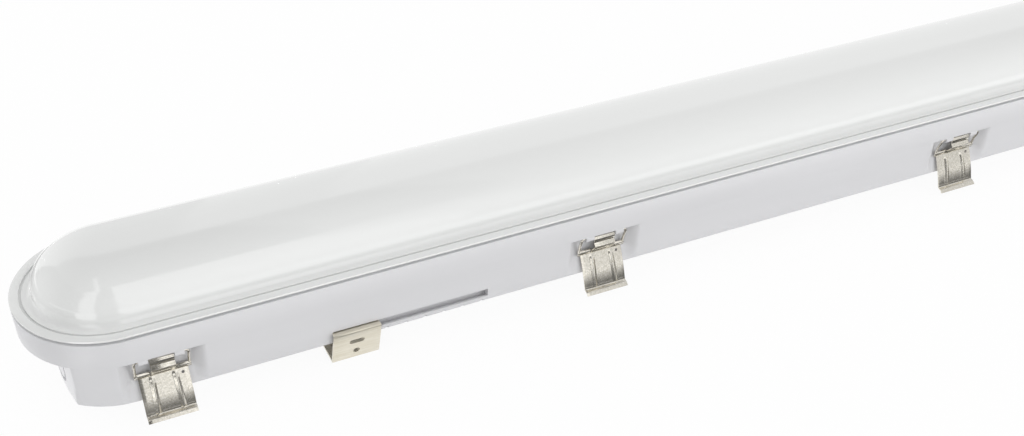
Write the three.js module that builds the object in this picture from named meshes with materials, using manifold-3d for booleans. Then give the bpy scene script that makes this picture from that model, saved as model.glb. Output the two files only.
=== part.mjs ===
import * as THREE from "three";
import { mergeVertices } from "three/addons/utils/BufferGeometryUtils.js";
import Module from "manifold-3d";

const wasm = await Module();
wasm.setup();

// Vapor tight light fixture, standing on its two mounting brackets with the diffuser up.
// Millimetres. X runs along the fixture, Y across it (near side -Y), z = 0 under the brackets.
// A side piece is drawn for the near side from points [out, z], where out is the distance from
// the centre plane. The far side is the near one turned half round.

// Driving sizes of the whole fixture
const length = 1500;
const rimWidth = 106.5;
const housingDepth = 47.5;
const standOff = 16; // underside of the brackets to underside of the housing
const latchEndInset = 68.5; // end of the fixture to the middle of the first latch
const latchesPerSide = 6;
const retainerEndInset = 264.45;
const retainersPerSide = 4;
const clearance = 0.3;
const overrun = 2; // how far a cutter reaches past the face it opens

// Numbers of facets
const endArcSteps = 14;
const faceArcSteps = 4;
const roundSteps = 12;
const smallSteps = 6;
const pinSteps = 4;
const filletSteps = 2;
const bendSteps = 2;

// Sizes of the moulded housing, insets counted inwards from the rim's outline
const housing = {
  wall: 2.4,
  bandHeight: 17.8,
  bandFootInset: 0.5,
  bandEdge: 0.3,
  shadowStep: 1.45,
  shadowDrop: 1.1,
  lipRise: 0.2,
  bodyTopInset: 0.85,
  bodyBottomInset: 3.85,
  fillet: 4,
  endBottomInset: 3, // the round ends stand fuller than the sides
  endFillet: 1.2,
  innerFillet: 2,
  endFaceInset: 17,
  endFaceRadius: 182,
  mouthInset: 10.65,
  mouthDepth: 6.5,
  mouthSlope: 2,
  channelInset: 6.65,
  channelWidth: 2.2,
  channelDepth: 4.5,
  innerWallDrop: 1,
};

// Opal diffuser, an arch that is a superellipse above a hollow foot
const diffuser = {
  seatGap: 0.5,
  flange: 1.4,
  flangeRound: 0.35,
  flangeWidth: 5.2,
  stepWidth: 0.5,
  stepDepth: 0.5,
  wall: 2,
  archHalfWidth: 41.05,
  archRise: 23.25,
  archBase: 2.5,
  widthPower: 2.98,
  risePower: 2.43,
  topAngle: 83, // degrees of the arch's own angle at which its flat top begins
  archSteps: 8,
  innerSteps: 5,
  footRise: 6.4,
  footSteps: 3,
  footLand: 1.8,
};
const claw = {
  halfWidth: 6,
  thickness: 1.4,
  inset: 4.25,
  barb: 0.9,
  barbDrop: 4, // under the band
  barbFace: 0.8,
};
const gasket = { height: 2.3 };

// Latch of spring steel sheet. Its bends are [out, down] from the pins as shares of tuckDrop,
// and those of its lip from the foot of the plate as shares of the lip's reach and drop
const latch = {
  width: 28,
  shoulderWidth: 32,
  sheet: 0.8,
  tongueWidth: 13.8,
  pinInset: 3.05,
  pinDrop: 1.9, // under the band
  pinRadius: 0.8,
  armWidth: 1.2,
  armDepth: 1.8,
  earWidth: 5.5,
  earGap: 0.4,
  earRadius: 2.2,
  tuckIn: 3.9,
  tuckDrop: 14.9,
  plateOut: 8,
  plateDrop: 20,
  lipReach: 4.4,
  lipDrop: 3.4,
  ribPlace: 6.4,
  ribSplay: 0.7,
  ribWidth: 3.4,
  ribFlare: 1.4,
  ribHeight: 0.8,
  ribTopGap: 1.2,
  ribFootGap: 1.5,
  eyeSide: 10.6,
  eyeDrop: 2.4,
  eyeRadius: 0.9,
};
const hookShares = [
  [-0.027, 0.081],
  [0.02, 0.02],
  [0.06, 0.06],
  [0.067, 0.128],
  [0, 0.215],
  [0.04, 0.315],
  [0.094, 0.41],
  [0.047, 0.53],
];
const neckShare = [-0.174, 0.799];
const shoulderShares = [
  [-0.235, 0.755],
  [-0.19, 0.83],
];
const lipShares = [
  [0.14, 0.3],
  [0.45, 0.46],
  [0.85, 0.4],
  [1, 0.58],
  [1, 1],
];

// Room behind a latch: its back stands upright, then runs out to the foot of the wall
const pocket = { clear: 2.2, flank: 8.5, backInset: 8.45, backDrop: 17.2, flankSteps: 4, innerSteps: 1 };

// U-shaped bracket whose ledges slide in a groove of each side wall
const bracket = {
  width: 29,
  ledgeWidth: 26.6,
  sheet: 1.5,
  endInset: 179.5, // end of the fixture to the middle of the bracket
  foldOut: 0.25,
  footInset: 7.95,
  outerBend: 1.6,
  travel: 70,
  slotLength: 9.5,
  slotWidth: 3.8,
  slotDrop: 9.3,
  holeDiameter: 4.3,
  holeDrop: 19.2,
  screwSlotLength: 14,
  screwSlotWidth: 5.5,
  screwSlotSide: 16,
};
const groove = { height: 5.2, backInset: 8.05, topDown: 36.9 };
const detent = { pitch: 12.2, width: 1.8, rise: 2.2, inset: 6.25, count: 6, endGap: 3.2 };

// Cable entries in the end faces
const entry = { diameter: 20.5, side: 17.5, down: 32.6, ring: 1, ringDepth: 0.8 };
const gland = {
  bore: 6.2,
  thread: 9.9,
  threadLength: 10,
  washer: 1.5,
  hexRadius: 13.2,
  hexLength: 3.6,
  barrel: 8.6,
  barrelLength: 3.6,
  domeRadius: 12.2,
  domeNose: 8.6,
  domeLength: 9.2,
  domeWall: 1.6,
  lipRadius: 6.6,
  bushBore: 4.2,
  nutLength: 5,
  hexSides: 6,
};

// Inside: gear tray and its retainers, LED boards, driver and terminals
const tray = { endInset: 50, sheet: 0.8, faceDown: 6, lip: 3.4, outerBend: 0.8 };
const retainer = { width: 14, top: 0.2, leg: 1.5, legDepth: 7, finger: 2, hook: 1.4, rib: 3, ribReach: 1.9 };
const board = { endGap: 4, width: 24, thickness: 1.6, gap: 3, count: 3, strip: 6 };
const led = { length: 3.5, width: 2.8, height: 0.8, perBoard: 14, carrier: 0.25, gap: 0.1 };
const screw = { head: 2.9, headHeight: 1.8, top: 1.6, shank: 1.5, reach: 7, holeGap: 0.4, perBoard: 2 };
const driver = {
  endInset: 515,
  length: 285,
  width: 43,
  height: 23,
  chamfer: 2.5,
  tab: 14,
  tabThickness: 1.6,
  screwSide: 16.5,
  lid: 1,
  lidInset: 2,
};
const terminal = {
  endInset: 190,
  length: 32,
  width: 24,
  height: 17,
  poles: 3,
  bore: 2.1,
  well: 2.4,
  depth: 7,
  screwLength: 3.5,
};
const wire = { radius: 1.1, sides: 8, steps: 10, gap: 0.4, lead: 14, sag: 5, bend: 3, outletSide: 4.4, outletX: 28 };
const earth = { endInset: 122, side: 18, lugDrop: 5 };

// Places that follow from the sizes
const rimRadius = rimWidth / 2;
const spine = length / 2 - rimRadius;
const floorZ = standOff;
const rimZ = standOff + housingDepth;
const bandZ = rimZ - housing.bandHeight;
const bodyTop = rimRadius - housing.bodyTopInset;
const bodyBottom = rimRadius - housing.bodyBottomInset;
const mouth = rimRadius - housing.mouthInset;
const channelOuter = rimRadius - housing.channelInset;
const channelInner = channelOuter - housing.channelWidth;
const gasketLow = rimZ - housing.channelDepth + clearance;
const gasketTop = gasketLow + gasket.height;
const endCentre = length / 2 - housing.endFaceInset - housing.endFaceRadius;
const latchStations = spread(latchesPerSide, latchEndInset);
const retainerStations = spread(retainersPerSide, retainerEndInset);
const pinOut = rimRadius - latch.pinInset;
const pinZ = bandZ - latch.pinDrop;
const earInner = latch.tongueWidth / 2 + latch.earGap;
const earOuter = earInner + latch.earWidth;
const bracketX = length / 2 - bracket.endInset;
const grooveTop = rimZ - groove.topDown;
const grooveBack = rimRadius - groove.backInset;
const grooveStart = bracketX + bracket.ledgeWidth / 2 + clearance;
const grooveEnd = bracketX - bracket.ledgeWidth / 2 - bracket.travel - clearance;
const ledgeZ = grooveTop - clearance - bracket.sheet / 2;
const retainerOut = mouth - clearance;
const trayHalf = retainerOut - retainer.leg - clearance;
const trayLength = length - tray.endInset * 2;
const trayZ = rimZ - tray.faceDown;
const trayUnder = trayZ - tray.sheet;
const boardLength = (trayLength - board.endGap * 2 - board.gap * (board.count - 1)) / board.count;
const boardZ = trayZ + clearance;
const boardTop = boardZ + board.thickness;
const driverTop = trayUnder - clearance;
const wireZ = driverTop - terminal.height / 2;
const driverX = length / 2 - driver.endInset;
const terminalX = length / 2 - terminal.endInset;
const earthX = length / 2 - earth.endInset;

function stations(count, pitch) {
  return Array.from({ length: count }, (_, i) => (i - (count - 1) / 2) * pitch);
}

// Even places along the fixture, the first and last this far from its ends
function spread(count, endInset) {
  return stations(count, (length - endInset * 2) / (count - 1));
}

// Geometry helpers

// A place on the near side, from [distance out of the centre plane, height]
function nearSide([out, z]) {
  return [-out, z];
}

function unit(from, to) {
  return new THREE.Vector2(to[0] - from[0], to[1] - from[1]).normalize();
}

// Closed outline of a bent sheet, from the line through the middle of its thickness
function sheetOutline(line, thickness, outerBend = 0) {
  const sides = [1, -1].map((side) =>
    line.map(([x, y], i) => {
      const into = i ? unit(line[i - 1], line[i]) : unit(line[0], line[1]);
      const onto = i < line.length - 1 ? unit(line[i], line[i + 1]) : into;
      const across = into.clone().add(onto).normalize();
      const reach = (side * thickness) / 2 / across.dot(into);
      const isOuter = Math.sign(into.cross(onto)) === -side;
      const point = [x - across.y * reach, y + across.x * reach];
      return { point, bend: isOuter ? outerBend : 0 };
    }),
  );
  return rounded([...sides[0], ...sides[1].reverse()]);
}

// A closed outline with each corner softened by its own bend
function rounded(corners) {
  return corners.flatMap(({ point, bend }, i) => {
    if (!bend) return [point];
    const neighbours = [corners.at(i - 1).point, corners[(i + 1) % corners.length].point];
    const corner = new THREE.Vector2(...point);
    const [from, to] = neighbours.map((next) => corner.clone().addScaledVector(unit(point, next), bend));
    return new THREE.QuadraticBezierCurve(from, corner, to).getPoints(bendSteps).map((p) => [p.x, p.y]);
  });
}

function shapeOf(points) {
  return new THREE.Shape(points.map(([x, y]) => new THREE.Vector2(x, y)));
}

// A Y-Z outline drawn out along X, centred on x = 0
function prismX(points, width) {
  const body = new THREE.ExtrudeGeometry(shapeOf(points), { depth: width, bevelEnabled: false });
  body.translate(0, 0, -width / 2);
  const cycle = new THREE.Matrix4().makeBasis(
    new THREE.Vector3(0, 1, 0),
    new THREE.Vector3(0, 0, 1),
    new THREE.Vector3(1, 0, 0),
  );
  return body.applyMatrix4(cycle);
}

function prismZ(shape, low, high, curveSegments = roundSteps) {
  const body = new THREE.ExtrudeGeometry(shape, { depth: high - low, bevelEnabled: false, curveSegments });
  return body.translate(0, 0, low);
}

function block([x0, x1], [y0, y1], [z0, z1]) {
  const body = new THREE.BoxGeometry(x1 - x0, y1 - y0, z1 - z0);
  return body.translate((x0 + x1) / 2, (y0 + y1) / 2, (z0 + z1) / 2);
}

// A block beside the centre plane, from one distance out to another
function sideBlock(halfWidth, [inner, outer], heights) {
  return block([-halfWidth, halfWidth], [-outer, -inner], heights);
}

function hole(radius, x, y, [low, high], steps = smallSteps) {
  const cutter = new THREE.CylinderGeometry(radius, radius, high - low, steps);
  return cutter.rotateX(Math.PI / 2).translate(x, y, (low + high) / 2);
}

function rodX(radius, x0, x1, steps = roundSteps) {
  const rod = new THREE.CylinderGeometry(radius, radius, x1 - x0, steps);
  return rod.rotateZ(-Math.PI / 2).translate((x0 + x1) / 2, 0, 0);
}

function turned(profile, steps = roundSteps) {
  const body = new THREE.LatheGeometry(
    profile.map(([r, y]) => new THREE.Vector2(r, y)),
    steps,
  );
  return body;
}

// A screw standing on z = 0 with its shank below
function screwBody(reach = screw.reach) {
  const { head, headHeight, top, shank } = screw;
  const profile = [
    [0, -reach],
    [shank, -reach],
    [shank, 0],
    [head, 0],
    [head, headHeight / 2],
    [top, headHeight],
    [0, headHeight],
  ];
  return turned(profile, smallSteps).rotateX(Math.PI / 2);
}

// Points round the fixture at one distance from its spine. A second distance is that of the long
// sides, which reach it at the middle of their end latches
function stadium(radius, z, sideRadius) {
  const waist = latchStations.at(-1);
  const ring = [];
  for (const side of [1, -1]) {
    if (sideRadius) ring.push([side * waist, -side * sideRadius, z]);
    for (let i = 0; i <= endArcSteps; i++) {
      const angle = Math.PI * (i / endArcSteps - side / 2);
      ring.push([side * spine + radius * Math.cos(angle), radius * Math.sin(angle), z]);
    }
    if (sideRadius) ring.push([side * waist, side * sideRadius, z]);
  }
  return ring;
}

// Skin through rings of points that run counterclockwise seen from above
function loft(rings, closed = false) {
  const count = rings[0].length;
  const index = [];
  for (let r = 0; r < (closed ? rings.length : rings.length - 1); r++) {
    const low = r * count;
    const high = ((r + 1) % rings.length) * count;
    for (let i = 0; i < count; i++) {
      const j = (i + 1) % count;
      index.push(low + i, low + j, high + j, low + i, high + j, high + i);
    }
  }
  if (!closed) {
    const top = (rings.length - 1) * count;
    const outline = rings[0].map(([x, y]) => new THREE.Vector2(x, y));
    for (const [a, b, c] of THREE.ShapeUtils.triangulateShape(outline, [])) {
      index.push(c, b, a, top + a, top + b, top + c);
    }
  }
  const body = new THREE.BufferGeometry();
  body.setAttribute("position", new THREE.Float32BufferAttribute(rings.flat(2), 3));
  body.setIndex(index);
  return body;
}

// A profile of [radius, z] carried round the fixture
function carried(profile, closed = false) {
  return loft(
    profile.map(([radius, z]) => stadium(radius, z)),
    closed,
  );
}

function solid(geometry) {
  const bare = geometry.clone();
  bare.deleteAttribute("normal");
  bare.deleteAttribute("uv");
  const merged = mergeVertices(bare);
  return new wasm.Manifold(
    new wasm.Mesh({
      numProp: 3,
      vertProperties: new Float32Array(merged.attributes.position.array),
      triVerts: new Uint32Array(merged.index.array),
    }),
  );
}

function joined(...parts) {
  return parts.map((p) => (p.isBufferGeometry ? solid(p) : p)).reduce((whole, p) => whole.add(p));
}

function cut(whole, ...cutters) {
  let body = whole.isBufferGeometry ? solid(whole) : whole;
  for (const cutter of cutters.flat()) body = body.subtract(cutter.isBufferGeometry ? solid(cutter) : cutter);
  return body;
}

function geometryOf(manifold) {
  const mesh = manifold.getMesh();
  const body = new THREE.BufferGeometry();
  body.setAttribute("position", new THREE.BufferAttribute(mesh.vertProperties.slice(), mesh.numProp));
  body.setIndex(new THREE.BufferAttribute(mesh.triVerts.slice(), 1));
  return body;
}

// Copies of a near-side geometry at every station on both sides
function onBothSides(geometry, places) {
  return [0, Math.PI].flatMap((turn) => places.map((x) => geometry.clone().rotateZ(turn).translate(x, 0, 0)));
}

// Puts a geometry that stands on x = 0 onto an end face, square to the face at the entry
function onEndFace(geometry, end, side) {
  const angle = Math.asin((side * entry.side) / housing.endFaceRadius);
  const body = geometry.clone().translate(housing.endFaceRadius, 0, rimZ - entry.down);
  body.rotateZ(angle).translate(endCentre, 0, 0);
  return end < 0 ? body.rotateZ(Math.PI) : body;
}

// Housing

function endCutter(inset, low, high) {
  const radius = housing.endFaceRadius - inset;
  const half = Math.asin((rimRadius + overrun) / radius);
  const beyond = length / 2 + overrun;
  const shape = new THREE.Shape();
  shape.absarc(endCentre, 0, radius, -half, half, false);
  shape.lineTo(beyond, rimRadius + overrun);
  shape.lineTo(beyond, -rimRadius - overrun);
  return prismZ(shape, low, high, faceArcSteps);
}

function bothEnds(geometry) {
  return [geometry, geometry.clone().rotateZ(Math.PI)];
}

// A step of the round between wall and floor, as [distance from the spine, height]
function filletPoint(out, radius, step) {
  const angle = ((Math.PI / 2) * step) / filletSteps;
  return [out - radius + radius * Math.sin(angle), floorZ + radius - radius * Math.cos(angle)];
}

function lowerBody() {
  const { fillet, endFillet, endBottomInset } = housing;
  const rings = [];
  for (let i = 0; i <= filletSteps; i++) {
    const [end, endHeight] = filletPoint(rimRadius - endBottomInset, endFillet, i);
    const [side, sideHeight] = filletPoint(bodyBottom, fillet, i);
    const ring = stadium(end, endHeight, side);
    rings.push(ring.map(([x, y, z]) => [x, y, Math.abs(x) < spine ? sideHeight : z]));
  }
  rings.push(stadium(bodyTop, bandZ + overrun, bodyTop));
  return cut(loft(rings), bothEnds(endCutter(0, floorZ - overrun, bandZ + overrun * 2)));
}

function rimBand() {
  const { bandFootInset, bandEdge, shadowStep, shadowDrop, lipRise } = housing;
  return carried([
    [rimRadius - bandFootInset - bandEdge, bandZ],
    [rimRadius - bandFootInset, bandZ + bandEdge],
    [rimRadius, rimZ - shadowDrop],
    [rimRadius - shadowStep, rimZ - shadowDrop],
    [rimRadius - shadowStep, rimZ + lipRise],
  ]);
}

// Room behind a latch, or with grow > 0 the wall that stands round that room
function latchPocket(grow, steps) {
  const { clear, flank, backInset, backDrop } = pocket;
  const inner = latch.width / 2 + clear + grow;
  const outer = inner + flank;
  const back = rimRadius - backInset - grow;
  const kneeZ = bandZ - backDrop;
  const foot = bodyBottom - grow;
  const beyond = ((foot - back) * overrun) / (kneeZ - floorZ);
  const levels = [
    [floorZ - overrun, foot + beyond, bodyBottom],
    [kneeZ, back, bodyTop],
    [bandZ + grow, back, bodyTop],
  ];
  const rings = levels.map(([z, out, wallOut]) => {
    const face = wallOut + clearance;
    const right = [
      [outer, -rimRadius - overrun, z],
    ];
    for (let i = 0; i <= steps; i++) {
      const share = i / steps;
      const ease = (1 - Math.cos(Math.PI * share)) / 2;
      right.push([outer - (outer - inner) * share, (face - out) * ease - face, z]);
    }
    const left = right.map(([x, y]) => [-x, y, z]).reverse();
    return [...right, ...left];
  });
  return loft(rings);
}

// Passage in the band for a claw of the diffuser, or the wall round it
function clawPassage(grow) {
  const outer = rimRadius - claw.inset;
  const gap = clearance + grow;
  return sideBlock(
    claw.halfWidth + gap,
    [outer - claw.thickness - gap, outer + claw.barb + gap],
    [bandZ - overrun, rimZ + overrun],
  );
}

// Pair of ears under the band that carry the pins of a latch
function pivotEars() {
  const radius = latch.earRadius;
  const outline = [[pinOut - radius, bandZ + overrun]];
  for (let i = 0; i <= pinSteps; i++) {
    const angle = Math.PI * (1 + i / pinSteps);
    outline.push([pinOut + radius * Math.cos(angle), pinZ + radius * Math.sin(angle)]);
  }
  outline.push([pinOut + radius, bandZ + overrun]);
  const place = (earInner + earOuter) / 2;
  const ear = prismX(outline.map(nearSide).reverse(), latch.earWidth);
  const pinHole = rodX(latch.pinRadius + clearance, -earOuter - overrun, earOuter + overrun, smallSteps);
  const pair = [-place, place].map((x) => ear.clone().translate(x, 0, 0));
  return geometryOf(cut(joined(...pair), pinHole.translate(0, -pinOut, pinZ)));
}

// Grooves in which the brackets slide, or the walls round them
function grooveCutters(grow) {
  const range = [grooveEnd - grow, grooveStart + grow];
  const heights = [grooveTop - groove.height - grow, grooveTop + grow];
  const near = block(range, [-rimRadius - overrun, -grooveBack + grow], heights);
  const far = block(range, [grooveBack - grow, rimRadius + overrun], heights);
  return [near, far].flatMap(bothEnds);
}

function detentCutters() {
  const reach = [rimRadius - detent.inset, rimRadius];
  const notch = sideBlock(detent.width / 2, reach, [floorZ - overrun, floorZ + detent.rise]);
  const places = Array.from({ length: detent.count }, (_, i) => grooveEnd + detent.endGap + i * detent.pitch);
  return onBothSides(notch, [...places, ...places.map((x) => -x)]);
}

// Groove round an entry that can be knocked out
function knockOut() {
  const outer = entry.diameter / 2;
  return turned([
    [outer - entry.ring, -entry.ringDepth],
    [outer, -entry.ringDepth],
    [outer, overrun],
    [outer - entry.ring, overrun],
    [outer - entry.ring, -entry.ringDepth],
  ], endArcSteps).rotateZ(-Math.PI / 2);
}

// Rib of the side wall that the gear tray rests on
function trayRib() {
  const reach = [trayHalf - retainer.ribReach, bodyBottom - housing.wall / 2];
  return sideBlock(retainer.rib / 2, reach, [floorZ + housing.wall / 2, trayUnder - clearance]);
}

function makeHousing() {
  const { wall, mouthDepth, mouthSlope, bandFootInset, innerFillet } = housing;
  const bandCavity = rimRadius - bandFootInset - wall;
  const upper = carried([
    [bandCavity, bandZ + wall],
    [bandCavity, rimZ - mouthDepth - mouthSlope],
    [mouth, rimZ - mouthDepth],
    [mouth, rimZ + overrun],
  ]);
  const lowerRoom = carried([
    [bodyBottom - wall - innerFillet, floorZ + wall],
    [bodyBottom - wall, floorZ + wall + innerFillet],
    [bodyTop - wall, bandZ + wall + overrun],
  ]);
  const lower = cut(lowerRoom, bothEnds(endCutter(wall, floorZ, bandZ + wall + overrun * 2)));
  const room = cut(
    joined(upper, lower),
    onBothSides(latchPocket(wall, pocket.innerSteps), latchStations),
    onBothSides(clawPassage(wall), latchStations),
    grooveCutters(wall),
  );
  const channel = carried([
    [mouth - overrun, rimZ - housing.innerWallDrop],
    [channelInner, rimZ - housing.innerWallDrop],
    [channelInner, rimZ - housing.channelDepth],
    [channelOuter, rimZ - housing.channelDepth],
    [channelOuter, rimZ + overrun],
    [mouth - overrun, rimZ + overrun],
  ], true);
  const shell = cut(joined(lowerBody(), rimBand()), room);
  const ribbed = joined(shell, ...onBothSides(trayRib(), retainerStations));
  const knockOuts = [[-1, -1], [-1, 1], [1, 1]].map(([end, side]) => onEndFace(knockOut(), end, side));
  const open = cut(
    ribbed,
    channel,
    onBothSides(latchPocket(0, pocket.flankSteps), latchStations),
    onBothSides(clawPassage(0), latchStations),
    grooveCutters(0),
    detentCutters(),
    knockOuts,
    onEndFace(rodX(entry.diameter / 2, -wall - overrun, overrun, endArcSteps), 1, -1),
  );
  return geometryOf(joined(open, ...onBothSides(pivotEars(), latchStations)));
}

// Diffuser and seal

function arch(inset, from, steps) {
  const { archHalfWidth, archRise, archBase, widthPower, risePower, topAngle } = diffuser;
  const rise = archRise - inset;
  const start = Math.asin(Math.pow((from - archBase) / rise, risePower / 2));
  const end = THREE.MathUtils.degToRad(topAngle);
  return Array.from({ length: steps + 1 }, (_, i) => {
    const angle = start + ((end - start) * i) / steps;
    return [
      (archHalfWidth - inset) * Math.pow(Math.cos(angle), 2 / widthPower),
      rimZ + archBase + rise * Math.pow(Math.sin(angle), 2 / risePower),
    ];
  });
}

function makeDiffuser() {
  const { seatGap, flange, flangeRound, flangeWidth, stepWidth, stepDepth, wall, footRise } = diffuser;
  const under = rimZ + seatGap;
  const top = under + flange;
  const footOut = rimRadius - flangeWidth - stepWidth;
  const outerArch = arch(0, seatGap + flange + footRise, diffuser.archSteps);
  const footWidth = footOut - outerArch[0][0];
  const hollowFoot = Array.from({ length: diffuser.footSteps }, (_, i) => {
    const angle = ((Math.PI / 2) * i) / diffuser.footSteps;
    return [footOut - footWidth * Math.sin(angle), top + footRise * (1 - Math.cos(angle))];
  });
  const innerArch = arch(wall, seatGap + flange + footRise / 2, diffuser.innerSteps).reverse();
  const ribOuter = channelOuter - clearance;
  const ribInner = channelInner + clearance;
  const shell = carried([
    ...innerArch,
    [ribInner - diffuser.footLand, under],
    [ribInner, under],
    [ribInner, gasketTop + clearance],
    [ribOuter, gasketTop + clearance],
    [ribOuter, under],
    [rimRadius - flangeRound, under],
    [rimRadius, under + flangeRound],
    [rimRadius, top - flangeRound],
    [rimRadius - flangeRound, top],
    [rimRadius - flangeWidth, top],
    [rimRadius - flangeWidth, top - stepDepth],
    [footOut, top - stepDepth],
    ...hollowFoot,
    ...outerArch,
  ]);
  const clawShape = clawOutline(under + flange / 2);
  const claws = onBothSides(prismX(clawShape, claw.halfWidth * 2), latchStations);
  return geometryOf(joined(shell, ...claws));
}

// Claw that hangs through the band, with the barb that the latch draws down
function clawOutline(root) {
  const out = rimRadius - claw.inset;
  const barbZ = bandZ - claw.barbDrop;
  const points = [
    [out, root],
    [out - claw.thickness, root],
    [out - claw.thickness, barbZ - claw.barbFace - claw.barb],
    [out, barbZ - claw.barbFace - claw.barb],
    [out + claw.barb, barbZ - claw.barbFace],
    [out + claw.barb, barbZ],
    [out, barbZ],
  ];
  return points.map(nearSide).reverse();
}

function makeGasket() {
  const inner = channelInner + clearance;
  const outer = channelOuter - clearance;
  return carried([
    [inner, gasketLow],
    [outer, gasketLow],
    [outer, gasketTop],
    [inner, gasketTop],
  ], true);
}

// Latches

function fromPin([outShare, downShare]) {
  return [pinOut + outShare * latch.tuckDrop, pinZ - downShare * latch.tuckDrop];
}

function latchLines() {
  const { tuckIn, tuckDrop, plateOut, plateDrop, lipReach, lipDrop } = latch;
  const tuck = [pinOut - tuckIn, pinZ - tuckDrop];
  const foot = [tuck[0] + plateOut, tuck[1] - plateDrop];
  const lip = lipShares.map(([across, down]) => [foot[0] + across * lipReach, foot[1] - down * lipDrop]);
  const neck = fromPin(neckShare);
  const shoulder = shoulderShares.map(fromPin);
  const plateTop = [tuck[0] + (plateOut * latch.eyeDrop) / plateDrop, tuck[1] - latch.eyeDrop];
  return {
    tuck: nearSide(tuck),
    foot: nearSide(foot),
    shoulder: [...shoulder, tuck].map(nearSide),
    plate: [shoulder[1], tuck, foot, ...lip].map(nearSide),
    tongue: [...hookShares.map(fromPin), neck, tuck, plateTop].map(nearSide),
  };
}

// Frame of a sheet that runs down from one point to another: y out of its face, z down along it
function faceFrame(from, to) {
  const along = unit(from, to);
  const frame = new THREE.Matrix4().makeBasis(
    new THREE.Vector3(1, 0, 0),
    new THREE.Vector3(0, along.y, -along.x),
    new THREE.Vector3(0, along.x, along.y),
  );
  return frame.setPosition(0, from[0], from[1]);
}

// Cutter for a round hole through a sheet, in the sheet's own frame
function sheetHole(radius, x, down, sheet, steps) {
  return new THREE.CylinderGeometry(radius, radius, sheet * 2, steps).translate(x, 0, down);
}

// A pressed rib of the plate, narrow and low at its upper end, wider at its foot
function plateRib(side) {
  const { ribPlace, ribSplay, ribWidth, ribFlare, ribHeight, ribTopGap, ribFootGap, sheet } = latch;
  const { tuck, foot } = latchLines();
  const reach = Math.hypot(foot[0] - tuck[0], foot[1] - tuck[1]);
  const face = sheet / 4;
  const section = (along, half, height) => {
    const middle = side * (ribPlace + (ribSplay * along) / reach);
    return [
      [middle - half, face, along],
      [middle + half, face, along],
      [middle + half / 2, face + height, along],
      [middle - half / 2, face + height, along],
    ];
  };
  const half = ribWidth / 2;
  const rings = [
    section(ribTopGap, half / 2, face),
    section(ribTopGap + ribWidth, half, ribHeight),
    section(reach - ribFootGap - ribWidth, half + ribFlare / 2, ribHeight),
    section(reach - ribFootGap, half / 2, face),
  ];
  return loft(rings).applyMatrix4(faceFrame(tuck, foot));
}

// Arm at one edge of the plate, with the pin that turns in the housing's ear
function latchArm(side) {
  const { shoulderWidth, sheet, armWidth, armDepth, pinRadius, earWidth } = latch;
  const middle = (side * (shoulderWidth - armWidth)) / 2;
  const [low] = shoulderShares.map(fromPin);
  const outline = [[low[0] + sheet / 2, low[1] - sheet]];
  for (let i = 0; i <= pinSteps; i++) {
    const angle = (Math.PI * i) / pinSteps;
    outline.push([pinOut + (armDepth / 2) * Math.cos(angle), pinZ + (armDepth / 2) * Math.sin(angle)]);
  }
  outline.push([low[0] - sheet / 2, low[1] - sheet]);
  const arm = prismX(outline.map(nearSide).reverse(), armWidth).translate(middle, 0, 0);
  const tip = side * (earInner + earWidth / 3);
  const pin = rodX(pinRadius, Math.min(tip, middle), Math.max(tip, middle), smallSteps);
  return joined(arm, pin.translate(0, -pinOut, pinZ));
}

function makeLatch() {
  const { width, shoulderWidth, sheet, tongueWidth, eyeRadius, eyeSide, eyeDrop } = latch;
  const { shoulder, plate, tongue, tuck, foot } = latchLines();
  const middleZ = (plate[0][1] + tuck[1]) / 2;
  const upperMiddle = sideBlock(tongueWidth / 2, [0, rimWidth], [middleZ, rimZ]);
  const sheets = joined(
    prismX(sheetOutline(shoulder, sheet), shoulderWidth),
    prismX(sheetOutline(plate, sheet), width),
  );
  const eye = sheetHole(eyeRadius, eyeSide, eyeDrop, sheet, smallSteps);
  const body = joined(
    cut(sheets, upperMiddle),
    prismX(sheetOutline(tongue, sheet), tongueWidth),
    plateRib(-1),
    plateRib(1),
    latchArm(-1),
    latchArm(1),
  );
  return geometryOf(cut(body, eye.applyMatrix4(faceFrame(tuck, foot))));
}

// Brackets

function roundEnded(holeLength, holeWidth) {
  const radius = holeWidth / 2;
  const reach = holeLength / 2 - radius;
  const shape = new THREE.Shape();
  shape.absarc(reach, 0, radius, -Math.PI / 2, Math.PI / 2, false);
  shape.absarc(-reach, 0, radius, Math.PI / 2, Math.PI * 1.5, false);
  return shape;
}

function makeBracket() {
  const { width, ledgeWidth, sheet, foldOut, footInset, outerBend } = bracket;
  const fold = [rimRadius + foldOut, ledgeZ];
  const foot = [rimRadius - footInset, sheet / 2];
  const half = [[grooveBack + clearance, ledgeZ], fold, foot];
  const line = [...half.map(nearSide), ...half.toReversed()];
  const folded = prismX(sheetOutline(line, sheet, outerBend), width);
  const trimOuter = fold[0] - sheet - outerBend;
  const trims = [-1, 1].map((side) => {
    const edges = [(side * ledgeWidth) / 2, side * (width / 2 + overrun)].sort((a, b) => a - b);
    return block(edges, [-trimOuter, 0], [ledgeZ - sheet, ledgeZ + sheet]);
  });
  const frame = faceFrame(nearSide(fold), nearSide(foot));
  const { slotLength, slotWidth, slotDrop, holeDiameter, holeDrop } = bracket;
  const slot = prismZ(roundEnded(slotLength, slotWidth), -sheet, sheet, bendSteps);
  const holes = [
    slot.rotateX(Math.PI / 2).translate(0, 0, slotDrop),
    sheetHole(holeDiameter / 2, 0, holeDrop, sheet, roundSteps),
  ].map((cutter) => cutter.applyMatrix4(frame));
  const { screwSlotLength, screwSlotWidth, screwSlotSide } = bracket;
  const screwSlots = [-screwSlotSide, screwSlotSide].map((y) => {
    const cutter = prismZ(roundEnded(screwSlotLength, screwSlotWidth), -overrun, sheet + overrun, bendSteps);
    return cutter.translate(0, y, 0);
  });
  return geometryOf(cut(folded, trims.flatMap(bothEnds), holes.flatMap(bothEnds), screwSlots));
}

// Inside

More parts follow.
